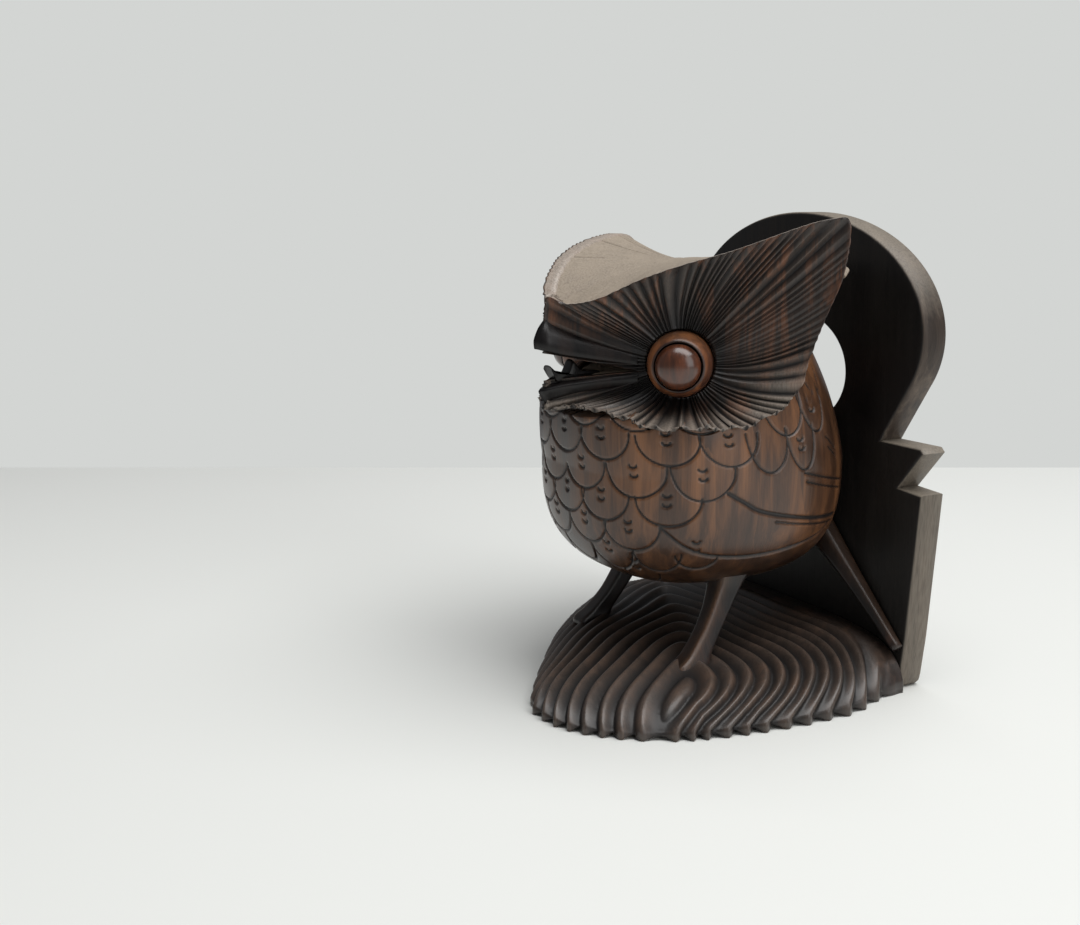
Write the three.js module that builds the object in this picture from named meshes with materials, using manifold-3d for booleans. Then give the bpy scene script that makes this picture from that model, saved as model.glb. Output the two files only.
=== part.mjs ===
// Carved owl bookend, in millimetres, +Z up. The owl faces -Y and its left side is +X.
// Places are measured from the panel's front face (y = 0) and the table (z = 0); the last
// group then moves the whole object so that its box stands centred on the origin.

import * as THREE from 'three';
import { mergeVertices } from 'three/addons/utils/BufferGeometryUtils.js';
import Module from 'manifold-3d';

const wasm = await Module();
wasm.setup();

// ---- driving dimensions -------------------------------------------------------------------
const GAP = 0.3;                       // clearance kept between neighbouring pieces

const PANEL = {
  thickness: 10, archCentre: 115.5, archWidth: 62, archHeight: 39,
  windowCentre: 101, windowWidth: 25.7, windowHeight: 19.2,
};
const MOUND = { width: 70, front: 117, centreY: -30, height: 18, slope: 0.04, power: 5, round: 0.5 };
// Plan of the mound [x, y], from its left side round the front. The right front corner is carved away.
const MOUND_PLAN = [
  [70.5, -38], [69.6, -52], [67.6, -68], [63.6, -85], [57, -97.5], [48, -108], [37, -115], [26, -117.4], [17, -115.8],
  [7, -110], [-6, -101], [-20, -90.5], [-34, -79.5], [-47, -67.5], [-58, -55], [-66, -42], [-70, -28], [-67, -10],
  [-61, 8], [-40, 25], [0, 28], [40, 25], [60, 10], [61.8, -3], [64.5, -14], [69, -25],
];
const BODY = {
  width: 46, length: 48.4, centreY: -44, waist: 74, bottom: 33, top: 116,
  planPower: 2.5, bellyPower: 2.9, neckTaper: 0.154, neckLean: 6,
};
const NECK = 38;                       // height over which the body tapers into the neck
const SEAT = { rear: 113, slope: 0.232 };   // sloping plane where the crown sits on the body
const DISC = {
  apexY: -101, turn: THREE.MathUtils.degToRad(38.66), thickness: 4.5, dishPower: 1.6, dishDepth: -1,
};
const EYE = {
  along: 43, height: 108.3, hole: 10.6, collar: 10.2, collarTip: 8, bore: 6.6, dome: 7.1, shank: 6.2,
};
const MOUTH = { corner: 31, cornerHeight: 105.6, floor: 100.6, roof: 111.2, depth: 13 };
const CROWN_TOP = new THREE.Vector3(0, -48, 139.3);

// Rim of a facial disc: distance along the disc from the beak, height, flare outwards. The upper part
// runs from the brow to the ear tuft, which is carved pointed on the left and low and round on the right.
const DISC_BROW = {
  left: [
    [0, 127, 0], [6, 126.7, 3], [12, 127.3, 6], [19, 129.2, 7], [31, 134.8, 8], [43.5, 139.2, 8],
    [59, 143.7, 8], [76, 149.8, 6], [84, 152.3, 4], [92.4, 153.3, 2], [93.5, 147, 2], [91.5, 135, 3],
  ],
  right: [
    [0, 127, 0], [6, 129, 3], [12, 132.5, 5], [19, 136.2, 6], [29, 140, 7], [43.5, 143.5, 7],
    [59, 145.8, 6], [74, 146.8, 5], [84, 145.6, 4], [91, 141, 3], [92, 136, 3], [91, 130, 3],
  ],
};
const DISC_CHEEK = [
  [87, 123.5, 4], [83, 112, 4], [79.5, 100.5, 5], [75, 96, 6], [65.3, 91, 10.5], [58.3, 90.3, 13],
  [45, 90.6, 17], [37, 90, 16.5], [26, 93, 13], [14, 94.5, 5], [6, 94.2, 1.5], [0, 95, 0],
];

// Rear rim of the crown, from the left ear tuft round to the middle of the nape.
const CROWN_REAR = [[55, -27, 136.5], [48, -19, 137.5], [37, -13, 138.2], [20, -9, 138.6], [0, -8, 138.4]];

// Beak sections as [outwards from the disc line, height]: in the middle, and at the mouth's corner.
const UPPER_BEAK = {
  middle: [[-4, 126], [-0.8, 122.6], [2.2, 119], [3.8, 115.2], [3.4, 112.2], [0.6, 113.2], [-4, 112.6], [-11, 112], [-11, 124]],
  corner: [[-3, 110.6], [-1.4, 110.4], [-1.2, 109.6], [-1.1, 108.6], [-1.2, 107.6], [-1.6, 107], [-2.6, 106.8], [-4.5, 107], [-4.5, 110]],
};
const LOWER_BEAK = {
  middle: [[-1, 100.4], [2.1, 99], [0.6, 96.2], [-0.8, 94.6], [-6, 94.2], [-11, 94.4], [-11, 99.6], [-6, 100.6]],
  corner: [[-1.4, 104.6], [-1.1, 103.8], [-1.1, 102.6], [-1.4, 101.6], [-2.4, 101.2], [-4.5, 101.4], [-4.5, 103.8], [-2.4, 104.6]],
};
// Side profile of the tongue [y, height], with its two upturned points.
const TONGUE = [[-82, 102.2], [-92, 101.6], [-97.4, 101.8], [-99.9, 107.1], [-97.4, 105], [-93.4, 104.4],
  [-91.6, 108.6], [-88.6, 105.4], [-82, 104.6]];
const TONGUE_LEVEL = 103;
const BEAK_REACH = 30;                 // how far the beak runs back along each disc

// Leg sections: [height, x, y, size in x, size in y]
const LEG = [
  [43, 27, -45, 11, 14], [36, 28, -48.8, 8, 10], [29, 30, -53.4, 6.4, 8], [22, 32, -58.6, 6, 7.4],
  [16, 34, -64, 6.4, 8.6], [12.5, 35, -67.2, 7.2, 12], [6, 35.2, -67.6, 6.4, 11],
];
const LEG_TUCK = { left: 0, right: 0.3 };   // how far each leg leans in under the body
// Tail strut sections: [x, y, z, size across, size outwards]
const STRUT = [
  [19, -6, 50, 11, 9], [27, -4.9, 43, 8.4, 7.6], [36, -4, 35.2, 6.2, 6], [47, -3.1, 25.4, 4.6, 4.6],
  [59, -2.2, 14.6, 3, 3.4],
];

// ---- solids -------------------------------------------------------------------------------
function toSolid(geometry) {
  const bare = new THREE.BufferGeometry();
  bare.setAttribute('position', geometry.getAttribute('position').clone());
  if (geometry.index) bare.setIndex(geometry.index.clone());
  const merged = mergeVertices(bare, 1e-4);
  const mesh = new wasm.Mesh({
    numProp: 3,
    vertProperties: new Float32Array(merged.getAttribute('position').array),
    triVerts: new Uint32Array(merged.index.array),
  });
  const solid = new wasm.Manifold(mesh);
  if (solid.volume() > 0) return solid;
  mesh.triVerts = mesh.triVerts.slice().reverse();
  return new wasm.Manifold(mesh);
}

function toGeometry(solid) {
  const mesh = solid.getMesh();
  const geometry = new THREE.BufferGeometry();
  geometry.setAttribute('position', new THREE.BufferAttribute(new Float32Array(mesh.vertProperties), 3));
  geometry.setIndex(new THREE.BufferAttribute(new Uint32Array(mesh.triVerts), 1));
  geometry.computeVertexNormals();
  return geometry;
}

// Skins equal-length rings of points. The ends are closed with fans, or ring to ring when looped.
function loft(rings, looped = false) {
  const count = rings[0].length;
  const points = rings.flat();
  const faces = [];
  const strips = looped ? rings.length : rings.length - 1;
  for (let r = 0; r < strips; r += 1) {
    const next = (r + 1) % rings.length;
    for (let i = 0; i < count; i += 1) {
      const j = (i + 1) % count;
      const [a, b] = [r * count + i, r * count + j];
      const [c, d] = [next * count + j, next * count + i];
      faces.push(a, b, c, a, c, d);
    }
  }
  if (!looped) {
    closeEnd(points, faces, 0, count, true);
    closeEnd(points, faces, (rings.length - 1) * count, count, false);
  }
  const geometry = new THREE.BufferGeometry().setFromPoints(points);
  geometry.setIndex(faces);
  return toSolid(geometry);
}

function closeEnd(points, faces, start, count, flipped) {
  const middle = new THREE.Vector3();
  for (let i = 0; i < count; i += 1) middle.addScaledVector(points[start + i], 1 / count);
  const hub = points.push(middle) - 1;
  for (let i = 0; i < count; i += 1) {
    const [a, b] = [start + i, start + (i + 1) % count];
    if (flipped) faces.push(hub, b, a);
    else faces.push(hub, a, b);
  }
}

function box(low, high) {
  const size = new THREE.Vector3(...high).sub(new THREE.Vector3(...low));
  const geometry = new THREE.BoxGeometry(size.x, size.y, size.z);
  geometry.translate(low[0] + size.x / 2, low[1] + size.y / 2, low[2] + size.z / 2);
  return toSolid(geometry);
}

function mirrored(solid) {
  return solid.mirror([1, 0, 0]);
}

// What is left of a solid after the cuts: its largest body, without the loose slivers.
function cutBy(solid, cutters) {
  const left = cutters.reduce((part, cutter) => part.subtract(cutter), solid);
  return left.decompose().reduce((best, part) => (part.volume() > best.volume() ? part : best));
}

// ---- outlines -----------------------------------------------------------------------------
// An outline with every corner moved away from its middle.
function grownOutline(outline, grow) {
  const mean = [0, 1].map((axis) => outline.reduce((sum, point) => sum + point[axis] / outline.length, 0));
  return outline.map((point) => {
    const away = new THREE.Vector2(point[0] - mean[0], point[1] - mean[1]);
    away.setLength(away.length() + 1.5 * grow);
    return [mean[0] + away.x, mean[1] + away.y];
  });
}

// A point of a superellipse of half-sizes a, b at the given angle.
function superellipse(angle, a, b, power) {
  const [c, s] = [Math.cos(angle), Math.sin(angle)];
  const reach = (Math.abs(c / a) ** power + Math.abs(s / b) ** power) ** (-1 / power);
  return [c * reach, s * reach];
}

function bodyRing(z, scale, count) {
  const rise = Math.max(0, (z - BODY.waist) / NECK);
  const fall = Math.max(0, (BODY.waist - z) / (BODY.waist - BODY.bottom));
  const girth = scale * (1 - fall ** BODY.bellyPower) ** (1 / BODY.bellyPower) * (1 - BODY.neckTaper * rise ** 2);
  const centreY = BODY.centreY - BODY.neckLean * rise;
  return Array.from({ length: count }, (_, i) => {
    const angle = 2 * Math.PI * i / count - Math.PI / 2;
    const [x, y] = superellipse(angle, BODY.width * girth, BODY.length * girth, BODY.planPower);
    return new THREE.Vector3(x, centreY + y, z);
  });
}

function seatHeight(y) {
  return SEAT.rear + SEAT.slope * y;
}

// Turns disc coordinates (along, height, outwards) into a place, on the left side or the right.
function onDisc(along, height, outwards, side = 1) {
  const [c, s] = [Math.sin(DISC.turn), Math.cos(DISC.turn)];
  return new THREE.Vector3(side * (along * c + outwards * s), DISC.apexY + along * s - outwards * c, height);
}

function discBrow(side) {
  return side > 0 ? DISC_BROW.left : DISC_BROW.right;
}

function discRim(count, side) {
  const control = [...discBrow(side), ...DISC_CHEEK].map((point) => new THREE.Vector3(...point));
  return new THREE.CatmullRomCurve3(control, true, 'catmullrom', 0.4).getSpacedPoints(count).slice(0, count);
}

// ---- pieces -------------------------------------------------------------------------------
function backPanel() {
  const { archCentre, archWidth, archHeight } = PANEL;
  const lowestArch = THREE.MathUtils.degToRad(-24);
  const side = [[46.5, 84], [44.7, 81.2], [62.8, 81.2], [64.4, 79.6], [53.4, 66.9], [64.4, 66.2], [60.4, 17.7], [58.6, 4]];
  const outline = new THREE.Shape();
  outline.absellipse(0, archCentre, archWidth, archHeight, lowestArch, Math.PI - lowestArch, false, 0);
  for (const [x, z] of side) outline.lineTo(-x, z);
  outline.quadraticCurveTo(-58, 0, -55, 0);
  outline.lineTo(55, 0);
  outline.quadraticCurveTo(58, 0, 58.6, 4);
  for (const [x, z] of side.slice(0, -1).reverse()) outline.lineTo(x, z);
  outline.closePath();
  const window = new THREE.Path();
  window.absellipse(0, PANEL.windowCentre, PANEL.windowWidth, PANEL.windowHeight, 0, 2 * Math.PI, true, 0);
  outline.holes.push(window);
  const geometry = new THREE.ExtrudeGeometry(outline, { depth: PANEL.thickness, bevelEnabled: false, curveSegments: 40 });
  geometry.rotateX(Math.PI / 2).translate(0, PANEL.thickness, 0);
  return toSolid(geometry);
}

function moundHeight(ring, y) {
  return (MOUND.height + MOUND.slope * y) * (1 - ring ** MOUND.power) ** MOUND.round;
}

function baseMound() {
  const count = 72;
  const steps = [1, 0.985, 0.955, 0.91, 0.84, 0.74, 0.6, 0.42, 0.2];
  const control = MOUND_PLAN.map(([x, y]) => new THREE.Vector3(x, y, 0));
  const plan = new THREE.CatmullRomCurve3(control, true, 'catmullrom', 0.5).getSpacedPoints(count).slice(0, count);
  const ringAt = (step, flat) => plan.map(({ x, y }) => {
    const across = THREE.MathUtils.clamp(x, -MOUND.width, MOUND.width) * step;
    const place = THREE.MathUtils.lerp(MOUND.centreY, Math.max(y, -MOUND.front), step);
    return new THREE.Vector3(across, place, flat ? 0 : moundHeight(step, place));
  });
  const dome = loft([ringAt(1, true), ...steps.slice(1).map((step) => ringAt(step, false))]);
  return dome.subtract(box([-90, -GAP, -5], [90, 60, 60]));
}

function barrel(scale) {
  const levels = [33.2, 34, 36, 39, 43, 48, 54, 61, 68, 76, 84, 92, 100, 108, BODY.top];
  return loft(levels.map((z) => bodyRing(z, scale, 48)));
}

function aboveSeat(lift) {
  const outline = new THREE.Shape();
  outline.moveTo(-130, seatHeight(-130) + lift);
  outline.lineTo(40, seatHeight(40) + lift);
  outline.lineTo(40, 200);
  outline.lineTo(-130, 200);
  outline.closePath();
  const geometry = new THREE.ExtrudeGeometry(outline, { depth: 200, bevelEnabled: false });
  geometry.applyMatrix4(new THREE.Matrix4().set(0, 0, 1, -100, 1, 0, 0, 0, 0, 1, 0, 0, 0, 0, 0, 1));
  return toSolid(geometry);
}

// The dished disc with its ear tuft. back and front move its two faces, to make it a cutter.
function faceDisc(side, back = 0, front = 0) {
  const count = 48;
  const rim = discRim(count, side);
  const hole = rim.map(({ x, y }) => {
    const angle = Math.atan2(y - EYE.height, x - EYE.along);
    return [EYE.along + EYE.hole * Math.cos(angle), EYE.height + EYE.hole * Math.sin(angle)];
  });
  const ringAt = (t, offset) => rim.map(({ x, y, z }, i) => {
    const depth = DISC.dishDepth + (z - DISC.dishDepth) * t ** DISC.dishPower;
    const along = THREE.MathUtils.lerp(hole[i][0], x, t);
    return onDisc(along, THREE.MathUtils.lerp(hole[i][1], y, t), depth + offset, side);
  });
  const steps = [0, 0.3, 0.6, 0.82, 1];
  const fronts = steps.map((t) => ringAt(t, front));
  const backs = steps.map((t) => ringAt(t, -back - DISC.thickness)).reverse();
  return loft([...fronts, ...backs], true);
}

// The same disc with its eye hole filled and its front carried far out, for cutting what lies behind.
function discCutter(side) {
  const pad = eyePlug(side, EYE.hole + 0.6, DISC.dishDepth - DISC.thickness - GAP, 40);
  return faceDisc(side, GAP, 40).add(pad);
}

function eyePlug(side, radius, from, to) {
  const geometry = new THREE.CylinderGeometry(radius, radius, to - from, 32);
  return toSolid(placeOnEye(geometry.translate(0, (from + to) / 2, 0), side));
}

// Turns a shape made about +Y, the way a lathe makes it, so that it points out of the eye.
function placeOnEye(geometry, side) {
  const outwards = onDisc(0, 0, 1, side).sub(onDisc(0, 0, 0, side));
  const turn = new THREE.Quaternion().setFromUnitVectors(new THREE.Vector3(0, 1, 0), outwards);
  const centre = onDisc(EYE.along, EYE.height, 0, side);
  return geometry.applyQuaternion(turn).translate(centre.x, centre.y, centre.z);
}

function turned(profile, side) {
  const points = profile.map(([radius, along]) => new THREE.Vector2(radius, along));
  return toSolid(placeOnEye(new THREE.LatheGeometry(points, 32), side));
}

function eyeCollar(side) {
  const { collar, bore, collarTip } = EYE;
  const foot = DISC.dishDepth - DISC.thickness + 0.3;
  return turned([
    [bore, foot], [collar, foot], [collar, 1.5], [collar - 0.3, 4.5], [collar - 1.3, 6.8],
    [collar - 2.4, collarTip], [bore, collarTip - 0.4], [bore, foot],
  ], side);
}

function eyeDome(side) {
  const { dome, shank, collarTip } = EYE;
  const arc = Array.from({ length: 9 }, (_, i) => {
    const angle = Math.PI / 2 * i / 8;
    return [dome * Math.cos(angle), collarTip + 0.3 + 5.2 * Math.sin(angle)];
  });
  arc[8][0] = 0;
  return turned([[0, DISC.dishDepth - DISC.thickness + 1], [shank, DISC.dishDepth - DISC.thickness + 1],
    [shank, collarTip + 0.3], ...arc], side);
}

// A beak: its section changes from the middle one to the corner one as it runs back along each disc.
function beak({ middle, corner }, grow = 0) {
  const stations = [-1, -0.8, -0.6, -0.42, -0.26, -0.12, 0, 0.12, 0.26, 0.42, 0.6, 0.8, 1];
  const rings = stations.map((station) => {
    const side = station < 0 ? -1 : 1;
    const blend = Math.abs(station);
    const section = middle.map(([out, height], i) => [
      THREE.MathUtils.lerp(out, corner[i][0], blend), THREE.MathUtils.lerp(height, corner[i][1], blend),
    ]);
    return grownOutline(section, grow).map(([out, height]) => {
      const along = Math.abs(station) * (BEAK_REACH + grow);
      if (station === 0) return new THREE.Vector3(0, DISC.apexY - out, height);
      const place = onDisc(along, height, out, side);
      place.x = side * Math.max(side * place.x, along / 8);
      return place;
    });
  });
  return loft(rings);
}

// The wedge of air between the beaks, open at the front and closing at the corners of the mouth.
function mouthOpening(side) {
  const wedge = [[-14, MOUTH.floor], [MOUTH.corner, MOUTH.cornerHeight], [-14, MOUTH.roof + 2]];
  const ringAt = (outwards) => wedge.map(([along, height]) => onDisc(along, height, outwards, side));
  return loft([ringAt(-MOUTH.depth), ringAt(25)]);
}

function tongue(grow = 0) {
  const ringAt = (x, narrow) => grownOutline(TONGUE, grow).map(([y, z]) => (
    new THREE.Vector3(x, y, THREE.MathUtils.lerp(TONGUE_LEVEL, z, narrow))));
  const [edge, flat] = [2.6 + grow, 1.2];
  return loft([ringAt(-edge, 0.7), ringAt(-flat, 1), ringAt(flat, 1), ringAt(edge, 0.7)]);
}

function crown() {
  const half = 24;
  const flank = (side) => {
    const front = discBrow(side).slice(1, 10).map(([along, height, flare]) => (
      onDisc(Math.min(along, 90), height - 0.8, flare - DISC.thickness - 1, side)));
    const rear = CROWN_REAR.map(([x, y, z]) => new THREE.Vector3(side * x, y, z));
    const nose = new THREE.Vector3(0, DISC.apexY + 4, DISC_BROW.left[0][1] - 0.8);
    return new THREE.CatmullRomCurve3([nose, ...front, ...rear], false, 'catmullrom', 0.3).getSpacedPoints(half);
  };
  const rim = [...flank(1).slice(0, -1), ...flank(-1).reverse().slice(0, -1)];
  const seat = rim.map((point) => {
    const angle = Math.atan2(point.y - BODY.centreY - 4, point.x);
    const [x, y] = superellipse(angle, BODY.width * 0.84, BODY.length * 0.84, BODY.planPower);
    const place = BODY.centreY - 4 + y;
    return new THREE.Vector3(x, place, seatHeight(place) + GAP);
  });
  const wall = [0, 0.35, 0.7].map((k) => seat.map((point, i) => {
    const flare = THREE.MathUtils.lerp(k ** 2, k, 0.35);
    const level = new THREE.Vector3().lerpVectors(point, rim[i], flare);
    level.z = THREE.MathUtils.lerp(point.z, rim[i].z, k);
    return level;
  }));
  const saddle = [0.3, 0.6, 0.85].map((k) => rim.map((point) => {
    const level = new THREE.Vector3().lerpVectors(point, CROWN_TOP, k);
    level.z = THREE.MathUtils.lerp(point.z, CROWN_TOP.z, Math.sin(k * Math.PI / 2));
    return level;
  }));
  return loft([...wall, rim, ...saddle]);
}

function leg(side, grow = 0) {
  const tuck = side > 0 ? LEG_TUCK.left : LEG_TUCK.right;
  return loft(LEG.map(([z, reach, y, width, length], i) => {
    const x = side * (reach - tuck * (LEG[0][0] - z));
    const end = i === 0 ? grow : i === LEG.length - 1 ? -grow : 0;
    const corners = [[-1, -1], [1, -1], [1, 1], [-1, 1]];
    return corners.map(([u, v]) => new THREE.Vector3(x + u * (width / 2 + grow), y + v * (length / 2 + grow), z + end));
  }));
}

function tailStrut() {
  const run = new THREE.Vector3(40, 0, -35.4).normalize();
  const across = new THREE.Vector3(-run.z, 0, run.x);
  return loft(STRUT.map(([x, y, z, width, depth]) => {
    const section = [[-0.5, 0.5], [-0.5, -0.1], [-0.1, -0.5], [0.5, -0.2], [0.5, 0.5]];
    return section.map(([u, v]) => new THREE.Vector3(x, y, z).addScaledVector(across, u * width)
      .add(new THREE.Vector3(0, v * depth, 0)));
  }));
}

// ---- assembly -----------------------------------------------------------------------------
const FINISHES = {
  panel: { color: 0x2a1d17, roughness: 0.42 },
  mound: { color: 0x33231b, roughness: 0.5 },
  body: { color: 0x5a351c, roughness: 0.4 },
  crown: { color: 0x8a7963, roughness: 0.5 },
  disc: { color: 0x3b2a22, roughness: 0.45 },
  beak: { color: 0x1d1513, roughness: 0.35 },
  collar: { color: 0x5c3318, roughness: 0.35 },
  dome: { color: 0x5f2413, roughness: 0.15 },
  leg: { color: 0x2b1c15, roughness: 0.4 },
};

function named(name, solid, finish) {
  const material = new THREE.MeshStandardMaterial({ ...FINISHES[finish], metalness: 0 });
  const mesh = new THREE.Mesh(toGeometry(solid), material);
  mesh.name = name;
  return mesh;
}

function owlBookend() {
  const sides = [['left', 1], ['right', -1]];
  const discCutters = sides.map(([, side]) => discCutter(side));
  const legHoles = sides.map(([, side]) => leg(side, GAP));
  const beakPockets = [beak(UPPER_BEAK, GAP), beak(LOWER_BEAK, GAP), tongue(GAP)];
  const mouth = sides.map(([, side]) => mouthOpening(side));
  const behindPanel = box([-90, -GAP, -5], [90, 60, 200]);

  const body = cutBy(barrel(1), [aboveSeat(0), behindPanel, ...discCutters, ...legHoles, ...beakPockets, ...mouth]);
  const head = cutBy(crown(), [...discCutters, ...beakPockets, ...mouth]);
  const grownBody = barrel(1 + GAP / BODY.width);

  const owl = new THREE.Group();
  owl.add(named('back_panel', backPanel(), 'panel'));
  owl.add(named('base_mound', cutBy(baseMound(), legHoles), 'mound'));
  owl.add(named('body', body, 'body'));
  owl.add(named('crown', head, 'crown'));
  owl.add(named('upper_beak', beak(UPPER_BEAK), 'beak'));
  owl.add(named('lower_beak', cutBy(beak(LOWER_BEAK), [tongue(GAP)]), 'beak'));
  owl.add(named('tongue', tongue(), 'beak'));
  for (const [word, side] of sides) {
    const otherHalf = box([side > 0 ? -150 : -GAP / 2, -150, 0], [side > 0 ? GAP / 2 : 150, 50, 200]);
    const disc = cutBy(faceDisc(side), [otherHalf, ...beakPockets, ...mouth]);
    const strut = side > 0 ? tailStrut() : mirrored(tailStrut());
    owl.add(named(`face_disc_${word}`, disc, 'disc'));
    owl.add(named(`eye_collar_${word}`, eyeCollar(side), 'collar'));
    owl.add(named(`eye_dome_${word}`, eyeDome(side), 'dome'));
    owl.add(named(`leg_${word}`, leg(side), 'leg'));
    owl.add(named(`tail_strut_${word}`, cutBy(strut, [grownBody, behindPanel]), 'leg'));
  }
  owl.position.y = (MOUND.front - PANEL.thickness) / 2;
  return owl;
}

const model = new THREE.Group();
model.add(owlBookend());
export default model;
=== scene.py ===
"""Carved rosewood owl bookend: its looks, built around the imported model.

Sizes are in millimetres from the panel's front face (y = 0) and the table (z = 0), as a carver
would mark them; to_row() turns them into the row frame's metres.
"""

import logging
import math
from dataclasses import dataclass, field
from enum import Enum
from typing import Any, Sequence

import bmesh
import bpy
import numpy as np
from mathutils import Matrix, Vector
from mathutils.kdtree import KDTree


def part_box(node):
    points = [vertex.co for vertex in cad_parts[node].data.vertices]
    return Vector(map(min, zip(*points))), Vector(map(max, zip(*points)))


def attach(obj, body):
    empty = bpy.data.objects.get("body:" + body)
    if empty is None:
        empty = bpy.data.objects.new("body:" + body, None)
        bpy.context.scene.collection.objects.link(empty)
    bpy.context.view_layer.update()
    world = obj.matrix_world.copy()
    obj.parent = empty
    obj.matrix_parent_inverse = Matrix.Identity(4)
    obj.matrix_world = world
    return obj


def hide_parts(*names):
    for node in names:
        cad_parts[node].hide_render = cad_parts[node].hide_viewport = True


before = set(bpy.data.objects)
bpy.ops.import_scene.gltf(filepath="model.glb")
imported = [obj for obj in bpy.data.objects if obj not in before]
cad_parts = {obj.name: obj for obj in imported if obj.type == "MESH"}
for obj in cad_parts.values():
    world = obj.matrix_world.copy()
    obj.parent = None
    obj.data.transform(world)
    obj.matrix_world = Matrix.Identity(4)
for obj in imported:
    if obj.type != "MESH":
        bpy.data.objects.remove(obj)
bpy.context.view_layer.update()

LOG = logging.getLogger("owl_bookend")
MM = 0.001
BODY_NAME = "root"
PANEL_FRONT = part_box("back_panel")[0].y

Array = np.ndarray
Row = tuple[float, ...]


class Side(Enum):
    """Which half of the owl a piece belongs to, as the sign of its x."""

    LEFT = 1
    RIGHT = -1

    @property
    def word(self) -> str:
        """The side's word in node names."""
        return self.name.lower()


# ---- places and curves ----------------------------------------------------------------------
def to_row(points: Array) -> Array:
    """Turns carver's millimetres into row-frame metres."""
    return (np.asarray(points, float) * MM) + np.array([0.0, PANEL_FRONT, 0.0])


def lerp(a: Any, b: Any, k: Any) -> Any:
    """Goes from a to b as k goes from 0 to 1."""
    return a + (b - a) * k


def smoothstep(value: Array, low: float, high: float) -> Array:
    """Rises smoothly from 0 at low to 1 at high."""
    k = np.clip((value - low) / (high - low), 0, 1)
    return k * k * (3 - 2 * k)


def between(value: Array, *ends: float) -> Array:
    """Rises from 0 to 1 over the first two of four ends, and falls again over the last two."""
    return smoothstep(value, *ends[:2]) * (1 - smoothstep(value, *ends[2:]))


def through_points(control: Sequence[Row], count: int, tension: float, closed: bool) -> Array:
    """Lays evenly spaced points on a smooth curve through the control points.

    Args:
        control: the points the curve passes through.
        count: how many points come back.
        tension: 0.5 is full roundness; less pulls the curve towards straight lines.
        closed: whether the curve returns to its first point, which isn't repeated.

    Returns:
        The points, one per row.
    """
    p = np.asarray(control, float)
    if closed:
        p0, p1, p2, p3 = np.roll(p, 1, 0), p, np.roll(p, -1, 0), np.roll(p, -2, 0)
    else:
        ends = np.vstack([2 * p[0] - p[1], p, 2 * p[-1] - p[-2]])
        p0, p1, p2, p3 = ends[:-3], ends[1:-2], ends[2:-1], ends[3:]
    t = np.linspace(0, 1, 24, endpoint=False)[None, :, None]
    m1, m2 = tension * (p2 - p0)[:, None], tension * (p3 - p1)[:, None]
    a, b = p1[:, None], p2[:, None]
    fine = ((2 * t**3 - 3 * t**2 + 1) * a + (t**3 - 2 * t**2 + t) * m1
            + (3 * t**2 - 2 * t**3) * b + (t**3 - t**2) * m2).reshape(-1, p.shape[1])
    fine = np.vstack([fine, p[0] if closed else p[-1]])
    run = np.concatenate([[0], np.cumsum(np.linalg.norm(np.diff(fine, axis=0), axis=1))])
    at = np.linspace(0, run[-1], count, endpoint=not closed)
    return np.stack([np.interp(at, run, fine[:, c]) for c in range(p.shape[1])], 1)


def superellipse(angle: Array, a: Any, b: Any, power: float) -> tuple[Array, Array]:
    """Gives the points of a superellipse of half-sizes a and b at the angles."""
    c, s = np.cos(angle), np.sin(angle)
    reach = (np.abs(c / a) ** power + np.abs(s / b) ** power) ** (-1 / power)
    return c * reach, s * reach


@dataclass(frozen=True)
class FacePlane:
    """The two flat planes, meeting in a V at the beak, that the face is carved on."""

    apex_y: float = -101.0
    turn: float = math.radians(38.66)

    def slant(self) -> tuple[float, float]:
        """Gives how far the plane runs in x and in y for each millimetre along it."""
        return math.sin(self.turn), math.cos(self.turn)

    def place(self, along: Any, height: Any, out: Any, side: Side) -> Array:
        """Turns distance along the plane, height and distance outwards into places."""
        c, s = self.slant()
        along, height, out = np.broadcast_arrays(along, height, out)
        return np.stack([side.value * (along * c + out * s), self.apex_y + along * s - out * c,
                         height], -1)

    def measure(self, points: Array) -> tuple[Array, Array]:
        """Gives the distances along and out from the plane on each point's own side."""
        c, s = self.slant()
        x, y = np.abs(points[..., 0]), points[..., 1] - self.apex_y
        return x * c + y * s, x * s - y * c


FACE = FacePlane()


# ---- node trees -----------------------------------------------------------------------------
def add_node(tree: bpy.types.NodeTree, kind: str, links: dict[Any, Any] | None = None,
             **settings: Any) -> bpy.types.Node:
    """Adds one node with its settings, values and links.

    Args:
        tree: the tree that gets the node.
        kind: the node's bl_idname.
        links: by input name or number, a socket to link or a value to set.
        settings: the node's own properties.

    Returns:
        The node.
    """
    node = tree.nodes.new(kind)
    for key, value in settings.items():
        setattr(node, key, value)
    for key, value in (links or {}).items():
        if isinstance(value, bpy.types.NodeSocket):
            tree.links.new(value, node.inputs[key])
        else:
            node.inputs[key].default_value = value
    return node


def hex_colour(code: str) -> tuple[float, float, float, float]:
    """Turns an sRGB hex colour into linear light."""
    parts = [int(code[i:i + 2], 16) / 255 for i in (1, 3, 5)]
    linear = [c / 12.92 if c <= 0.04045 else ((c + 0.055) / 1.055) ** 2.4 for c in parts]
    return (*linear, 1.0)


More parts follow.
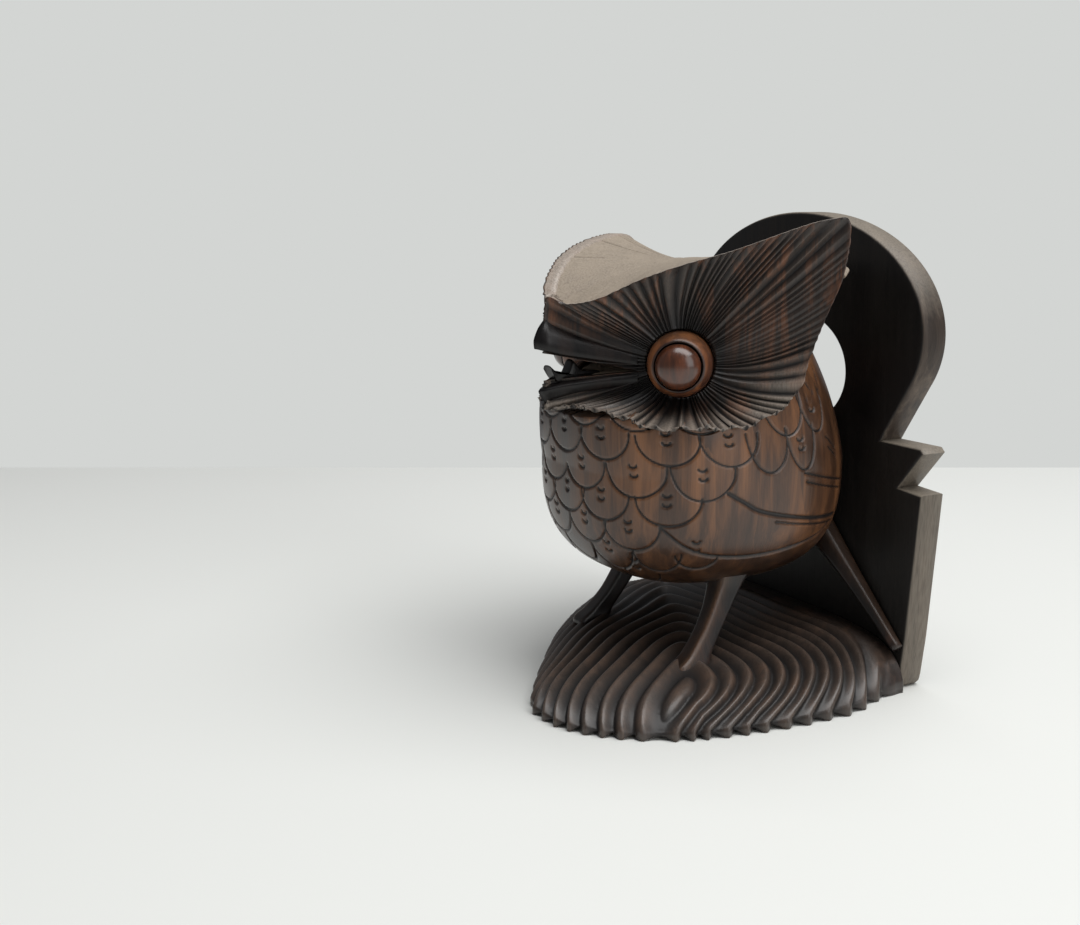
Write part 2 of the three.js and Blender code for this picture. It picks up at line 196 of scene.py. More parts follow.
# ---- finishes -------------------------------------------------------------------------------
@dataclass(frozen=True)
class WaxedWood:
    """Dark rosewood, carved with gouges, scraped and waxed.

    The grain stands vertical through every piece, because the whole owl is one block: broad
    streaks some 6 mm apart, dark figure lines and open pores under a thin satin wax.
    """

    name: str
    heart: str
    ground: str
    streak: str
    pale: str
    streak_share: float = 0.5       # how much of the wood the light streaks take
    lit_top: float = 0.0            # painted light from above, with some dust: how far faces that look up are made pale
    crest: float = 0.0              # how far the crests between cuts are made pale: painted highlight along with wear
    roughness: float = 0.42
    wax: float = 0.25
    sheen_level: float = 0.4
    pore_depth: float = 0.12        # mm
    streak_width: float = 6.0       # mm across the grain
    groove: str = "#070505"
    groove_share: float = 0.9
    cut_span: tuple[float, float] = (0.3, 0.95)     # how deep in a groove it turns dark

    def build(self) -> bpy.types.Material:
        """Makes the material.

        Returns:
            The material. It reads a piece's own "hollow", "crest", "rub" and "soot", if it has them.
        """
        material = bpy.data.materials.new(self.name)
        material.use_nodes = True
        tree = material.node_tree
        tree.nodes.clear()
        spot = add_node(tree, "ShaderNodeTexCoord").outputs["Object"]
        along_grain = add_node(tree, "ShaderNodeMapping", {
            "Vector": spot, "Scale": (1.0, 1.0, 0.10)}).outputs[0]
        streaks = add_node(tree, "ShaderNodeTexNoise", {
            "Vector": along_grain, "Scale": 1000 / self.streak_width, "Detail": 4.0,
            "Roughness": 0.62, "Distortion": 0.7}).outputs["Fac"]
        figure = add_node(tree, "ShaderNodeTexWave", {
            "Vector": along_grain, "Scale": 34.0, "Distortion": 7.0, "Detail": 3.0,
            "Detail Scale": 2.4}, bands_direction="DIAGONAL", wave_profile="SAW").outputs["Fac"]
        long_grain = add_node(tree, "ShaderNodeMapping", {
            "Vector": spot, "Scale": (1.0, 1.0, 0.045)}).outputs[0]
        # Pores are 0.1 to 0.3 mm wide; 0.55 mm is the finest that still shows.
        pores = add_node(tree, "ShaderNodeTexNoise", {
            "Vector": long_grain, "Scale": 1000 / 0.55, "Detail": 2.0}).outputs["Fac"]
        # Whole areas some 34 mm across are darker or lighter than their neighbours.
        patches = add_node(tree, "ShaderNodeTexNoise", {
            "Vector": spot, "Scale": 1000 / 34, "Detail": 2.0}).outputs["Fac"]

        mixed: Any = 0.0
        for value, share in ((streaks, 1.0), (figure, 0.13), (patches, 0.55), (pores, 0.16)):
            mixed = add_node(tree, "ShaderNodeMath", {0: value, 1: share, 2: mixed},
                             operation="MULTIPLY_ADD").outputs[0]
        low = 1.12 - 0.42 * self.streak_share
        tone = add_node(tree, "ShaderNodeMapRange", {
            "Value": mixed, "From Min": low - 0.40, "From Max": low + 0.30}).outputs[0]
        ramp = add_node(tree, "ShaderNodeValToRGB", {"Fac": tone})
        ramp.color_ramp.elements[0].color = hex_colour(self.heart)
        ramp.color_ramp.elements[0].position = 0.12
        ramp.color_ramp.elements[1].color = hex_colour(self.streak)
        middle = ramp.color_ramp.elements.new(0.55)
        middle.color = hex_colour(self.ground)
        colour = ramp.outputs["Color"]

        normal = add_node(tree, "ShaderNodeNewGeometry").outputs["Normal"]
        facing = add_node(tree, "ShaderNodeSeparateXYZ", {0: normal})
        # Painted light from above: faces that look up are made paler by lit_top, mottled by the pores.
        upwards = add_node(tree, "ShaderNodeMapRange", {
            "Value": facing.outputs["Z"], "From Min": 0.25, "From Max": 0.95}).outputs[0]
        pore_mottle = add_node(tree, "ShaderNodeMapRange", {
            "Value": pores, "From Min": 0.3, "From Max": 0.6, "To Min": 0.55}).outputs[0]
        # The third of these attributes is painted light on lit edges and flares; the fourth is painted
        # shade in recesses and on faces turned from the light.
        hollow, crests, painted_light, painted_shade = (
            add_node(tree, "ShaderNodeAttribute", attribute_name=name).outputs["Fac"]
            for name in ("hollow", "crest", "painted_light", "painted_shade"))
        cut = add_node(tree, "ShaderNodeMapRange", {
            "Value": hollow, "From Min": self.cut_span[0],
            "From Max": self.cut_span[1]}).outputs[0]
        # Painted light pales the faces that look up, the crests and the lit edges, partly also worn
        # bare; then black wax lies over it in the grooves, and painted shade darkens what each piece
        # marks.
        layers = ((self.pale, [upwards, pore_mottle, self.lit_top]), (self.pale, [crests, pore_mottle, self.crest]),
                  (self.pale, [painted_light, pore_mottle]), (self.groove, [cut, self.groove_share]),
                  (self.groove, [painted_shade]))
        for code, shares in layers:
            cover = shares[0]
            for share in shares[1:]:
                cover = add_node(tree, "ShaderNodeMath", {0: cover, 1: share},
                                 operation="MULTIPLY").outputs[0]
            colour = add_node(tree, "ShaderNodeMix", {0: cover, 6: colour, 7: hex_colour(code)},
                              data_type="RGBA").outputs[2]

        rough = add_node(tree, "ShaderNodeMapRange", {
            "Value": mixed, "From Min": 0.6, "From Max": 1.3, "To Min": self.roughness - 0.08,
            "To Max": self.roughness + 0.12}).outputs[0]
        rough = add_node(tree, "ShaderNodeMath", {0: cut, 1: 0.3, 2: rough},
                         operation="MULTIPLY_ADD").outputs[0]
        bump = add_node(tree, "ShaderNodeBump", {
            "Height": pores, "Distance": self.pore_depth * MM, "Strength": 0.55}).outputs[0]
        surface = add_node(tree, "ShaderNodeBsdfPrincipled", {
            "Base Color": colour, "Roughness": rough, "Normal": bump, "IOR": 1.5,
            "Specular IOR Level": self.sheen_level, "Coat Weight": self.wax,
            "Coat Roughness": 0.28})
        add_node(tree, "ShaderNodeOutputMaterial", {"Surface": surface.outputs[0]})
        return material


@dataclass(frozen=True)
class BlackedPanelWood(WaxedWood):
    """Rosewood board, sawn and scraped: near-black on its faces, bare grey-brown on its edges."""

    face: str = "#08080a"

    def build(self) -> bpy.types.Material:
        """Makes the material: the faces that look along y are blackened over the wood."""
        material = WaxedWood.build(self)
        tree = material.node_tree
        surface = next(n for n in tree.nodes if n.type == "BSDF_PRINCIPLED")
        colour = surface.inputs["Base Color"].links[0].from_socket
        normal = add_node(tree, "ShaderNodeNewGeometry").outputs["Normal"]
        across = add_node(tree, "ShaderNodeSeparateXYZ", {0: normal}).outputs["Y"]
        flat = add_node(tree, "ShaderNodeMath", {0: across}, operation="ABSOLUTE").outputs[0]
        share = add_node(tree, "ShaderNodeMapRange", {
            "Value": flat, "From Min": 0.55, "From Max": 0.92, "To Max": 0.93}).outputs[0]
        blackened = add_node(tree, "ShaderNodeMix", {0: share, 6: colour, 7: hex_colour(self.face)},
                             data_type="RGBA").outputs[2]
        tree.links.new(blackened, surface.inputs["Base Color"])
        return material


class Finish(Enum):
    """The finishes, one for each kind of surface on the owl."""

    # The outer face of the block: warm brown and orange streaks, satin from handling.
    BODY = WaxedWood("waxed_rosewood_body", "#1a110c", "#493122", "#7f5536", "#8d735f",
                     streak_share=0.62, lit_top=0.2, roughness=0.36, wax=0.45,
                     streak_width=7.0, groove_share=0.95, cut_span=(0.15, 0.75))
    # Gouged waves: dark wax stays in the troughs, and the crests are made pale brown, a painted
    # highlight along with wear.
    MOUND = WaxedWood("gouged_rosewood_mound", "#100d0d", "#2a211d", "#4c372a", "#7f6f63",
                      streak_share=0.45, lit_top=0.12, crest=0.3, roughness=0.36, wax=0.4,
                      groove_share=0.92, cut_span=(0.18, 0.8))
    # V-tool flutes: black grooves, with crests made a light brown at the rim, partly wear and partly
    # painted light on the lit cheek.
    DISC = WaxedWood("fluted_rosewood_disc", "#0f0b0b", "#2b1e18", "#7e4e31", "#a3978b",
                     streak_share=0.5, lit_top=0.1, crest=0.15, roughness=0.42,
                     streak_width=5.0, groove_share=0.95, cut_span=(0.12, 0.72))
    # The saddle between the ear tufts: dry end grain with hardly any wax left, its up-facing top made
    # pale by painted light from above.
    CROWN = WaxedWood("bare_rosewood_crown", "#241b16", "#5c4f43", "#7d6f60", "#9f9384",
                      streak_share=0.7, lit_top=0.9, roughness=0.6, wax=0.0, sheen_level=0.25)
    # The beak: the darkest heartwood, rubbed smooth, with a low dull shine.
    BEAK = WaxedWood("burnished_blackwood_beak", "#080707", "#110d0d", "#241915", "#3a302b",
                     streak_share=0.3, roughness=0.4, wax=0.15, sheen_level=0.3)
    # The turned collars: side grain in a warmer brown, satin.
    COLLAR = WaxedWood("turned_rosewood_collar", "#24120c", "#543120", "#8a5531", "#a67a55",
                       streak_share=0.6, lit_top=0.2, roughness=0.36, wax=0.35, streak_width=4.0)
    # The let-in domes: redder wood, polished to a clear shine.
    DOME = WaxedWood("polished_redwood_dome", "#150806", "#40200f", "#66351c", "#7a3f26",
                     streak_share=0.5, roughness=0.2, wax=0.7, sheen_level=0.5,
                     streak_width=3.0, pore_depth=0.03)
    # Legs and struts: knife-cut facets, dark, with outer edges made brown, a painted highlight along
    # with wear.
    LEG = WaxedWood("knife_cut_rosewood_leg", "#0b0908", "#1a120f", "#38241a", "#86644b",
                    streak_share=0.4, lit_top=0.05, crest=0.4, roughness=0.38, streak_width=4.0)
    # The board behind: blackened faces and dull grey-brown edges, made palest where they look up by
    # painted light from above.
    PANEL = BlackedPanelWood("blacked_rosewood_panel", "#1f1916", "#40362f", "#665a4f", "#8f8679",
                             streak_share=0.5, lit_top=0.75, roughness=0.5, wax=0.05,
                             sheen_level=0.3, streak_width=4.0)


# ---- meshes ---------------------------------------------------------------------------------
def new_piece(name: str, points: Array, faces: list[list[int]],
              fields: dict[str, Array] | None = None) -> bpy.types.Object:
    """Makes a mesh object at the origin, with its faces outwards.

    Args:
        name: the piece's name.
        points: its corners in carver's millimetres.
        faces: the corners of each face.
        fields: numbers kept at each corner, by attribute name.

    Returns:
        The object.
    """
    mesh = bpy.data.meshes.new(name)
    mesh.from_pydata(to_row(points).tolist(), [], faces)
    for key, values in (fields or {}).items():
        attribute = mesh.attributes.new(key, "FLOAT", "POINT")
        attribute.data.foreach_set("value", np.asarray(values, np.float32))
    work = bmesh.new()
    work.from_mesh(mesh)
    if work.calc_volume(signed=True) < 0:
        bmesh.ops.reverse_faces(work, faces=work.faces)
    work.to_mesh(mesh)
    work.free()
    mesh.shade_smooth()
    piece = bpy.data.objects.new(name, mesh)
    bpy.context.scene.collection.objects.link(piece)
    return piece


def skin(name: str, rings: Array, fields: dict[str, Array] | None = None,
         looped: bool = False) -> bpy.types.Object:
    """Skins rings of points; the ends are closed with fans, or joined when looped.

    Args:
        name: the piece's name.
        rings: places, by ring and by point.
        fields: numbers at each point of each ring, by attribute name.
        looped: whether the last ring joins the first.

    Returns:
        The object.
    """
    rows, count = rings.shape[:2]
    index = np.arange(rows * count).reshape(rows, count)
    upper = np.roll(index, -1, 0) if looped else index[1:]
    lower = index if looped else index[:-1]
    quads = np.stack([lower, np.roll(lower, -1, 1), np.roll(upper, -1, 1), upper], -1)
    faces = quads.reshape(-1, 4).tolist()
    points = rings.reshape(-1, 3)
    kept = {key: np.asarray(values, float).reshape(-1) for key, values in (fields or {}).items()}
    if not looped:
        points = np.vstack([points, rings[0].mean(0), rings[-1].mean(0)])
        first, last = rows * count, rows * count + 1
        for i in range(count):
            j = (i + 1) % count
            faces.append([first, int(index[0, j]), int(index[0, i])])
            faces.append([last, int(index[-1, i]), int(index[-1, j])])
        kept = {key: np.append(values, [values[:count].mean(), values[-count:].mean()])
                for key, values in kept.items()}
    return new_piece(name, points, faces, kept)


def settle(piece: bpy.types.Object) -> bpy.types.Object:
    """Turns a piece with its modifiers into a plain mesh."""
    graph = bpy.context.evaluated_depsgraph_get()
    graph.update()
    mesh = bpy.data.meshes.new_from_object(piece.evaluated_get(graph))
    piece.modifiers.clear()
    piece.data = mesh
    return piece


def cut_away(piece: bpy.types.Object, cutters: list[bpy.types.Object]) -> bpy.types.Object:
    """Cuts other shapes out of a piece.

    Args:
        piece: the closed piece to cut.
        cutters: closed shapes, which are left as they are.

    Returns:
        The piece as a plain mesh.
    """
    for cutter in cutters:
        step = piece.modifiers.new("cut", "BOOLEAN")
        step.operation = "DIFFERENCE"
        step.solver = "MANIFOLD"
        step.object = cutter
    return settle(piece)


def dress(piece: bpy.types.Object, finish: Finish, slot: str, *nodes: str) -> None:
    """Gives a finished piece its material and body, and hides the nodes it stands for."""
    if not piece.data.materials:
        piece.data.materials.append(Workshop.material(finish))
    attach(piece, BODY_NAME)
    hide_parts(*nodes)
    LOG.info("%s: %d faces in %s", piece.name, len(piece.data.polygons), finish.value.name)


class Workshop:
    """Holds what the pieces share: the finishes already made and the carving tree."""

    _materials: dict[Finish, bpy.types.Material] = {}
    _tree: bpy.types.NodeTree | None = None

    @classmethod
    def material(cls, finish: Finish) -> bpy.types.Material:
        """Gives a finish's material, made once."""
        if finish not in cls._materials:
            cls._materials[finish] = finish.value.build()
        return cls._materials[finish]

    @classmethod
    def carving_tree(cls) -> bpy.types.NodeTree:
        """Makes the Geometry Nodes tree that sinks repeating cuts into a surface.

        A point's "phase" counts cuts: it is whole at the bottom of each one. Its "fade" says how
        deep the cuts go there. The depth that is left is kept as "hollow" for the wax.

        Returns:
            The tree, with inputs Depth, Sharpness, Skew and Material.
        """
        if cls._tree is not None:
            return cls._tree
        tree = bpy.data.node_groups.new("carve", "GeometryNodeTree")
        tree.interface.new_socket("Geometry", in_out="INPUT", socket_type="NodeSocketGeometry")
        for name, value in (("Depth", 0.001), ("Sharpness", 1.5), ("Skew", 1.0)):
            socket = tree.interface.new_socket(name, in_out="INPUT", socket_type="NodeSocketFloat")
            socket.default_value = value
        tree.interface.new_socket("Material", in_out="INPUT", socket_type="NodeSocketMaterial")
        tree.interface.new_socket("Geometry", in_out="OUTPUT", socket_type="NodeSocketGeometry")
        given = add_node(tree, "NodeGroupInput").outputs
        known: dict[Any, Any] = {name: given[name] for name in ("Depth", "Sharpness", "Skew")}
        for name in ("phase", "fade"):
            known[name] = add_node(tree, "GeometryNodeInputNamedAttribute", {"Name": name},
                                   data_type="FLOAT").outputs[0]
        # hollow = fade * |2 * fract(phase) ** Skew - 1| ** Sharpness; crest is what it leaves.
        steps = (("part", "FRACT", "phase", 0.0), ("across", "POWER", "part", "Skew"),
                 ("double", "MULTIPLY", "across", 2.0), ("signed", "SUBTRACT", "double", 1.0),
                 ("ridge", "ABSOLUTE", "signed", 0.0), ("profile", "POWER", "ridge", "Sharpness"),
                 ("hollow", "MULTIPLY", "profile", "fade"), ("rest", "SUBTRACT", 1.0, "profile"),
                 ("crest", "MULTIPLY", "rest", "fade"), ("sunk", "MULTIPLY", "hollow", "Depth"),
                 ("inwards", "MULTIPLY", "sunk", -1.0))
        for result, operation, a, b in steps:
            known[result] = add_node(tree, "ShaderNodeMath", {
                0: known.get(a, a), 1: known.get(b, b)}, operation=operation).outputs[0]
        kept = given["Geometry"]
        for name in ("hollow", "crest"):
            kept = add_node(tree, "GeometryNodeStoreNamedAttribute", {
                "Geometry": kept, "Name": name, "Value": known[name]},
                data_type="FLOAT", domain="POINT").outputs[0]
        normal = add_node(tree, "GeometryNodeInputNormal").outputs[0]
        offset = add_node(tree, "ShaderNodeVectorMath", {0: normal, "Scale": known["inwards"]},
                          operation="SCALE").outputs[0]
        moved = add_node(tree, "GeometryNodeSetPosition", {"Geometry": kept, "Offset": offset})
        smooth = add_node(tree, "GeometryNodeSetShadeSmooth", {"Geometry": moved.outputs[0]})
        real = add_node(tree, "GeometryNodeRealizeInstances", {"Geometry": smooth.outputs[0]})
        dressed = add_node(tree, "GeometryNodeSetMaterial", {
            "Geometry": real.outputs[0], "Material": given["Material"]})
        add_node(tree, "NodeGroupOutput", {0: dressed.outputs[0]})
        cls._tree = tree
        return tree

    @classmethod
    def carve(cls, piece: bpy.types.Object, finish: Finish, depth: float, sharpness: float,
              skew: float = 1.0) -> bpy.types.Object:
        """Sinks a piece's cuts and leaves a plain mesh.

        Args:
            piece: a dense mesh with "phase" and "fade" at its points.
            finish: the finish it gets.
            depth: how deep a full cut goes, in millimetres.
            sharpness: 1 is a plain V; more leaves rounder crests between narrow cuts.
            skew: 1 is even; more leans the crests to one side.

        Returns:
            The piece.
        """
        tree = cls.carving_tree()
        step = piece.modifiers.new("carve", "NODES")
        step.node_group = tree
        values = {"Depth": depth * MM, "Sharpness": sharpness, "Skew": skew,
                  "Material": cls.material(finish)}
        for socket in tree.interface.items_tree:
            if socket.in_out == "INPUT" and socket.name in values:
                step[socket.identifier] = values[socket.name]
        return settle(piece)


# ---- back panel -----------------------------------------------------------------------------
@dataclass
class BackPanel:
    """The upright board with its arched top, oval window and notched sides."""

    thickness: float = 10.0
    arch_centre: float = 115.5
    arch_width: float = 62.0
    arch_height: float = 39.0
    arch_start: float = -24.0
    window_centre: float = 101.0
    window_width: float = 25.7
    window_height: float = 19.2
    side: tuple[Row, ...] = ((46.5, 84), (44.7, 81.2), (62.8, 81.2), (64.4, 79.6), (53.4, 66.9),
                             (64.4, 66.2), (60.4, 17.7), (58.6, 4))
    softening: tuple[Row, ...] = ((1.1, 0.0), (0.62, 0.15), (0.25, 0.48), (0.0, 1.1))
    pale_below: tuple[float, float] = (79.0, 84.0)      # the low side edges are made pale: painted light

    def outline(self) -> Array:
        """Gives the outline, anticlockwise seen from +y's far side, from the left ledge up."""
        span = np.radians(np.linspace(self.arch_start, 180 - self.arch_start, 150))
        arch = np.stack([self.arch_width * np.cos(span),
                         self.arch_centre + self.arch_height * np.sin(span)], 1)
        right = np.array([(-x, z) for x, z in self.side])
        foot = np.array([(-58.0, 1.6), (-56.8, 0.4), (-55.0, 0), (55.0, 0), (56.8, 0.4), (58.0, 1.6)])
        left = np.array(self.side[::-1])
        return np.vstack([arch, right, foot, left])

    def window(self) -> Array:
        """Gives the window's edge."""
        span = np.linspace(0, 2 * np.pi, 120, endpoint=False)
        return np.stack([self.window_width * np.cos(span),
                         self.window_centre + self.window_height * np.sin(span)], 1)

    @staticmethod
    def inset(outline: Array, by: float) -> Array:
        """Moves an outline to its left by a distance, with mitred corners."""
        before = outline - np.roll(outline, 1, 0)
        after = np.roll(outline, -1, 0) - outline
        before /= np.linalg.norm(before, axis=1, keepdims=True)
        after /= np.linalg.norm(after, axis=1, keepdims=True)
        quarter_turn = np.array([[0.0, 1.0], [-1.0, 0.0]])
        before, after = before @ quarter_turn, after @ quarter_turn
        mean = before + after
        mean /= np.maximum((mean * after).sum(1, keepdims=True), 0.5)
        return outline + by * mean

    def build(self) -> None:
        """Makes and dresses the panel."""
        points, faces, ends = [], [], []
        start = 0
        for outline, inwards in ((self.outline(), 1), (self.window(), -1)):
            front = [(self.inset(outline, inwards * by), deep) for by, deep in self.softening]
            back = [(flat, self.thickness - deep) for flat, deep in reversed(front)]
            count, rings = len(outline), len(front + back)
            points += [np.stack([flat[:, 0], np.full(count, deep), flat[:, 1]], 1)
                       for flat, deep in front + back]
            for low in range(start, start + (rings - 1) * count, count):
                faces += [[low + i, low + (i + 1) % count, low + count + (i + 1) % count,
                           low + count + i] for i in range(count)]
            ends.append((start, start + (rings - 1) * count, count))
            start += rings * count
        mesh = bpy.data.meshes.new("panel_board")
        mesh.from_pydata(to_row(np.vstack(points)).tolist(), [], faces)
        work = bmesh.new()
        work.from_mesh(mesh)
        work.verts.ensure_lookup_table()
        for face in (0, 1):
            rims = [work.edges.get((work.verts[end[face] + i],
                                    work.verts[end[face] + (i + 1) % end[2]]))
                    for end in ends for i in range(end[2])]
            bmesh.ops.triangle_fill(work, use_beauty=True, use_dissolve=False, edges=rims)
        bmesh.ops.recalc_face_normals(work, faces=work.faces)
        if work.calc_volume(signed=True) < 0:
            bmesh.ops.reverse_faces(work, faces=work.faces)
        work.to_mesh(mesh)
        work.free()
        mesh.shade_smooth()
        mesh.set_sharp_from_angle(angle=math.radians(42))
        # Painted light: the side edges low down, below pale_below, are made paler.
        height = np.array([v.co.z for v in mesh.vertices]) / MM
        painted_light = mesh.attributes.new("painted_light", "FLOAT", "POINT")
        painted_light.data.foreach_set("value", 0.5 * (1 - smoothstep(height, *self.pale_below)))
        piece = bpy.data.objects.new("panel_board", mesh)
        bpy.context.scene.collection.objects.link(piece)
        dress(piece, Finish.PANEL, "panel_wood", "back_panel")


# ---- mound ----------------------------------------------------------------------------------
@dataclass
class BaseMound:
    """The domed base, gouged with waves that run out below the body and drop down its wall."""

    width: float = 70.0
    centre_y: float = -30.0
    front: float = 117.0
    height: float = 18.0
    slope: float = 0.04
    power: float = 5.0
    rounding: float = 0.5
    cut_y: float = -0.3
    columns: int = 760
    rows: int = 104
    wave_depth: float = 2.6
    # Side ridges run straight out over the top, then lean forward down the wall. Each row is y
    # at the rim, and how many mm further back the same ridge lies on the top.
    side_width: float = 5.4         # mm between them on the top
    side_start: float = 15.3        # the side ridge that would pass through y = 0
    side_drop: tuple[Row, ...] = ((-110, 20), (-100, 23), (-90, 27), (-80, 30), (-62, 27),
                                  (-34, 17), (-10, 8), (0, 0))
    front_width: float = 5.6        # mm between the ridges that run out over the front
    front_normal: tuple[float, float] = (0.87, 0.5)
    front_lean: float = 8.0         # mm that they lean on their way down the wall
    front_start: float = 2.1
    wall_start: float = 0.45        # share of the way out at which the lean begins
    junction: float = 1.2           # how softly the two families of ridges turn into one
    rim_lift: float = 0.25
    # The plan, from the owl's left side round the front; the right front corner is carved away.
    plan: tuple[Row, ...] = (
        (70.5, -38), (69.6, -52), (67.6, -68), (63.6, -85), (57, -97.5), (48, -108), (37, -115),
        (26, -117.4), (17, -115.8), (7, -110), (-6, -101), (-20, -90.5), (-34, -79.5),
        (-47, -67.5), (-58, -55), (-66, -42), (-70, -28), (-67, -10), (-61, 8), (-40, 25),
        (0, 28), (40, 25), (60, 10), (61.8, -3), (64.5, -14), (69, -25))

    def ridge_count(self, px: Array, py: Array, share: Array) -> Array:
        """Counts the ridges out from the foot, where the side and front ridges meet.

        Args:
            px, py: places in the plan.
            share: how far out from the plan's centre each place is, 1 at the rim.

        Returns:
            The count, which carving takes as its phase.
        """
        down = np.clip((share - self.wall_start) / (1 - self.wall_start), 0, 1) ** 3
        drop = np.array(self.side_drop, float)
        side = (py + down * np.interp(py, drop[:, 0], drop[:, 1])) / self.side_width
        side = side + self.side_start
        along = self.front_normal[0] * px + self.front_normal[1] * py
        front = self.front_start - (along - self.front_lean * down) / self.front_width
        side = side + 0.14 * np.sin(px * 0.13 + py * 0.05)
        front = front + 0.16 * np.sin(py * 0.11 - px * 0.06)
        return 0.5 * (side + front + np.hypot(side - front, self.junction))

    def build(self) -> None:
        """Makes, carves and dresses the mound."""
        plan = through_points(self.plan, self.columns, 0.5, True)
        x = np.clip(plan[:, 0], -self.width, self.width)
        y = np.maximum(plan[:, 1], -self.front) - self.centre_y
        room = self.cut_y - self.centre_y
        reach = np.where(y > room, room / np.maximum(y, 1e-6), 1.0)
        share = (1 - np.linspace(1, 0.02, self.rows) ** 1.25)[::-1][:, None] * reach[None]
        share = np.clip(share, 0.012 * reach, reach)
        px, py = x * share, self.centre_y + y * share
        pz = (self.height + self.slope * py) * np.maximum(1 - share**self.power, 0) ** self.rounding
        pz = np.maximum(pz, self.rim_lift)
        top = np.stack([px, py, pz], -1)
        foot = top[:1].copy()
        foot[..., 2] = 0
        under = foot.copy()
        under[..., 0] *= 0.5
        under[..., 1] = self.centre_y + (under[..., 1] - self.centre_y) * 0.5
        rings = np.concatenate([under, foot, top])
        phase = self.ridge_count(px, py, share)
        fade = (1 - smoothstep(py, -14.0, -4.0)) * lerp(0.9, 1.0, smoothstep(share, 0.5, 0.8))
        deep = np.random.default_rng(7).uniform(0.78, 1.0, 80)
        fade = fade * deep[np.floor(phase).astype(int) % len(deep)]
        fields = {key: np.vstack([np.zeros(self.columns), values[0], values])
                  for key, values in (("phase", phase), ("fade", fade))}
        piece = skin("wave_mound", rings, fields)
        Workshop.carve(piece, Finish.MOUND, self.wave_depth, 1.3, 1.5)
        low = np.array([v.co.z for v in piece.data.vertices]).min()
        piece.data.transform(Matrix.Translation((0, 0, -low)))
        dress(piece, Finish.MOUND, "mound_wood", "base_mound")


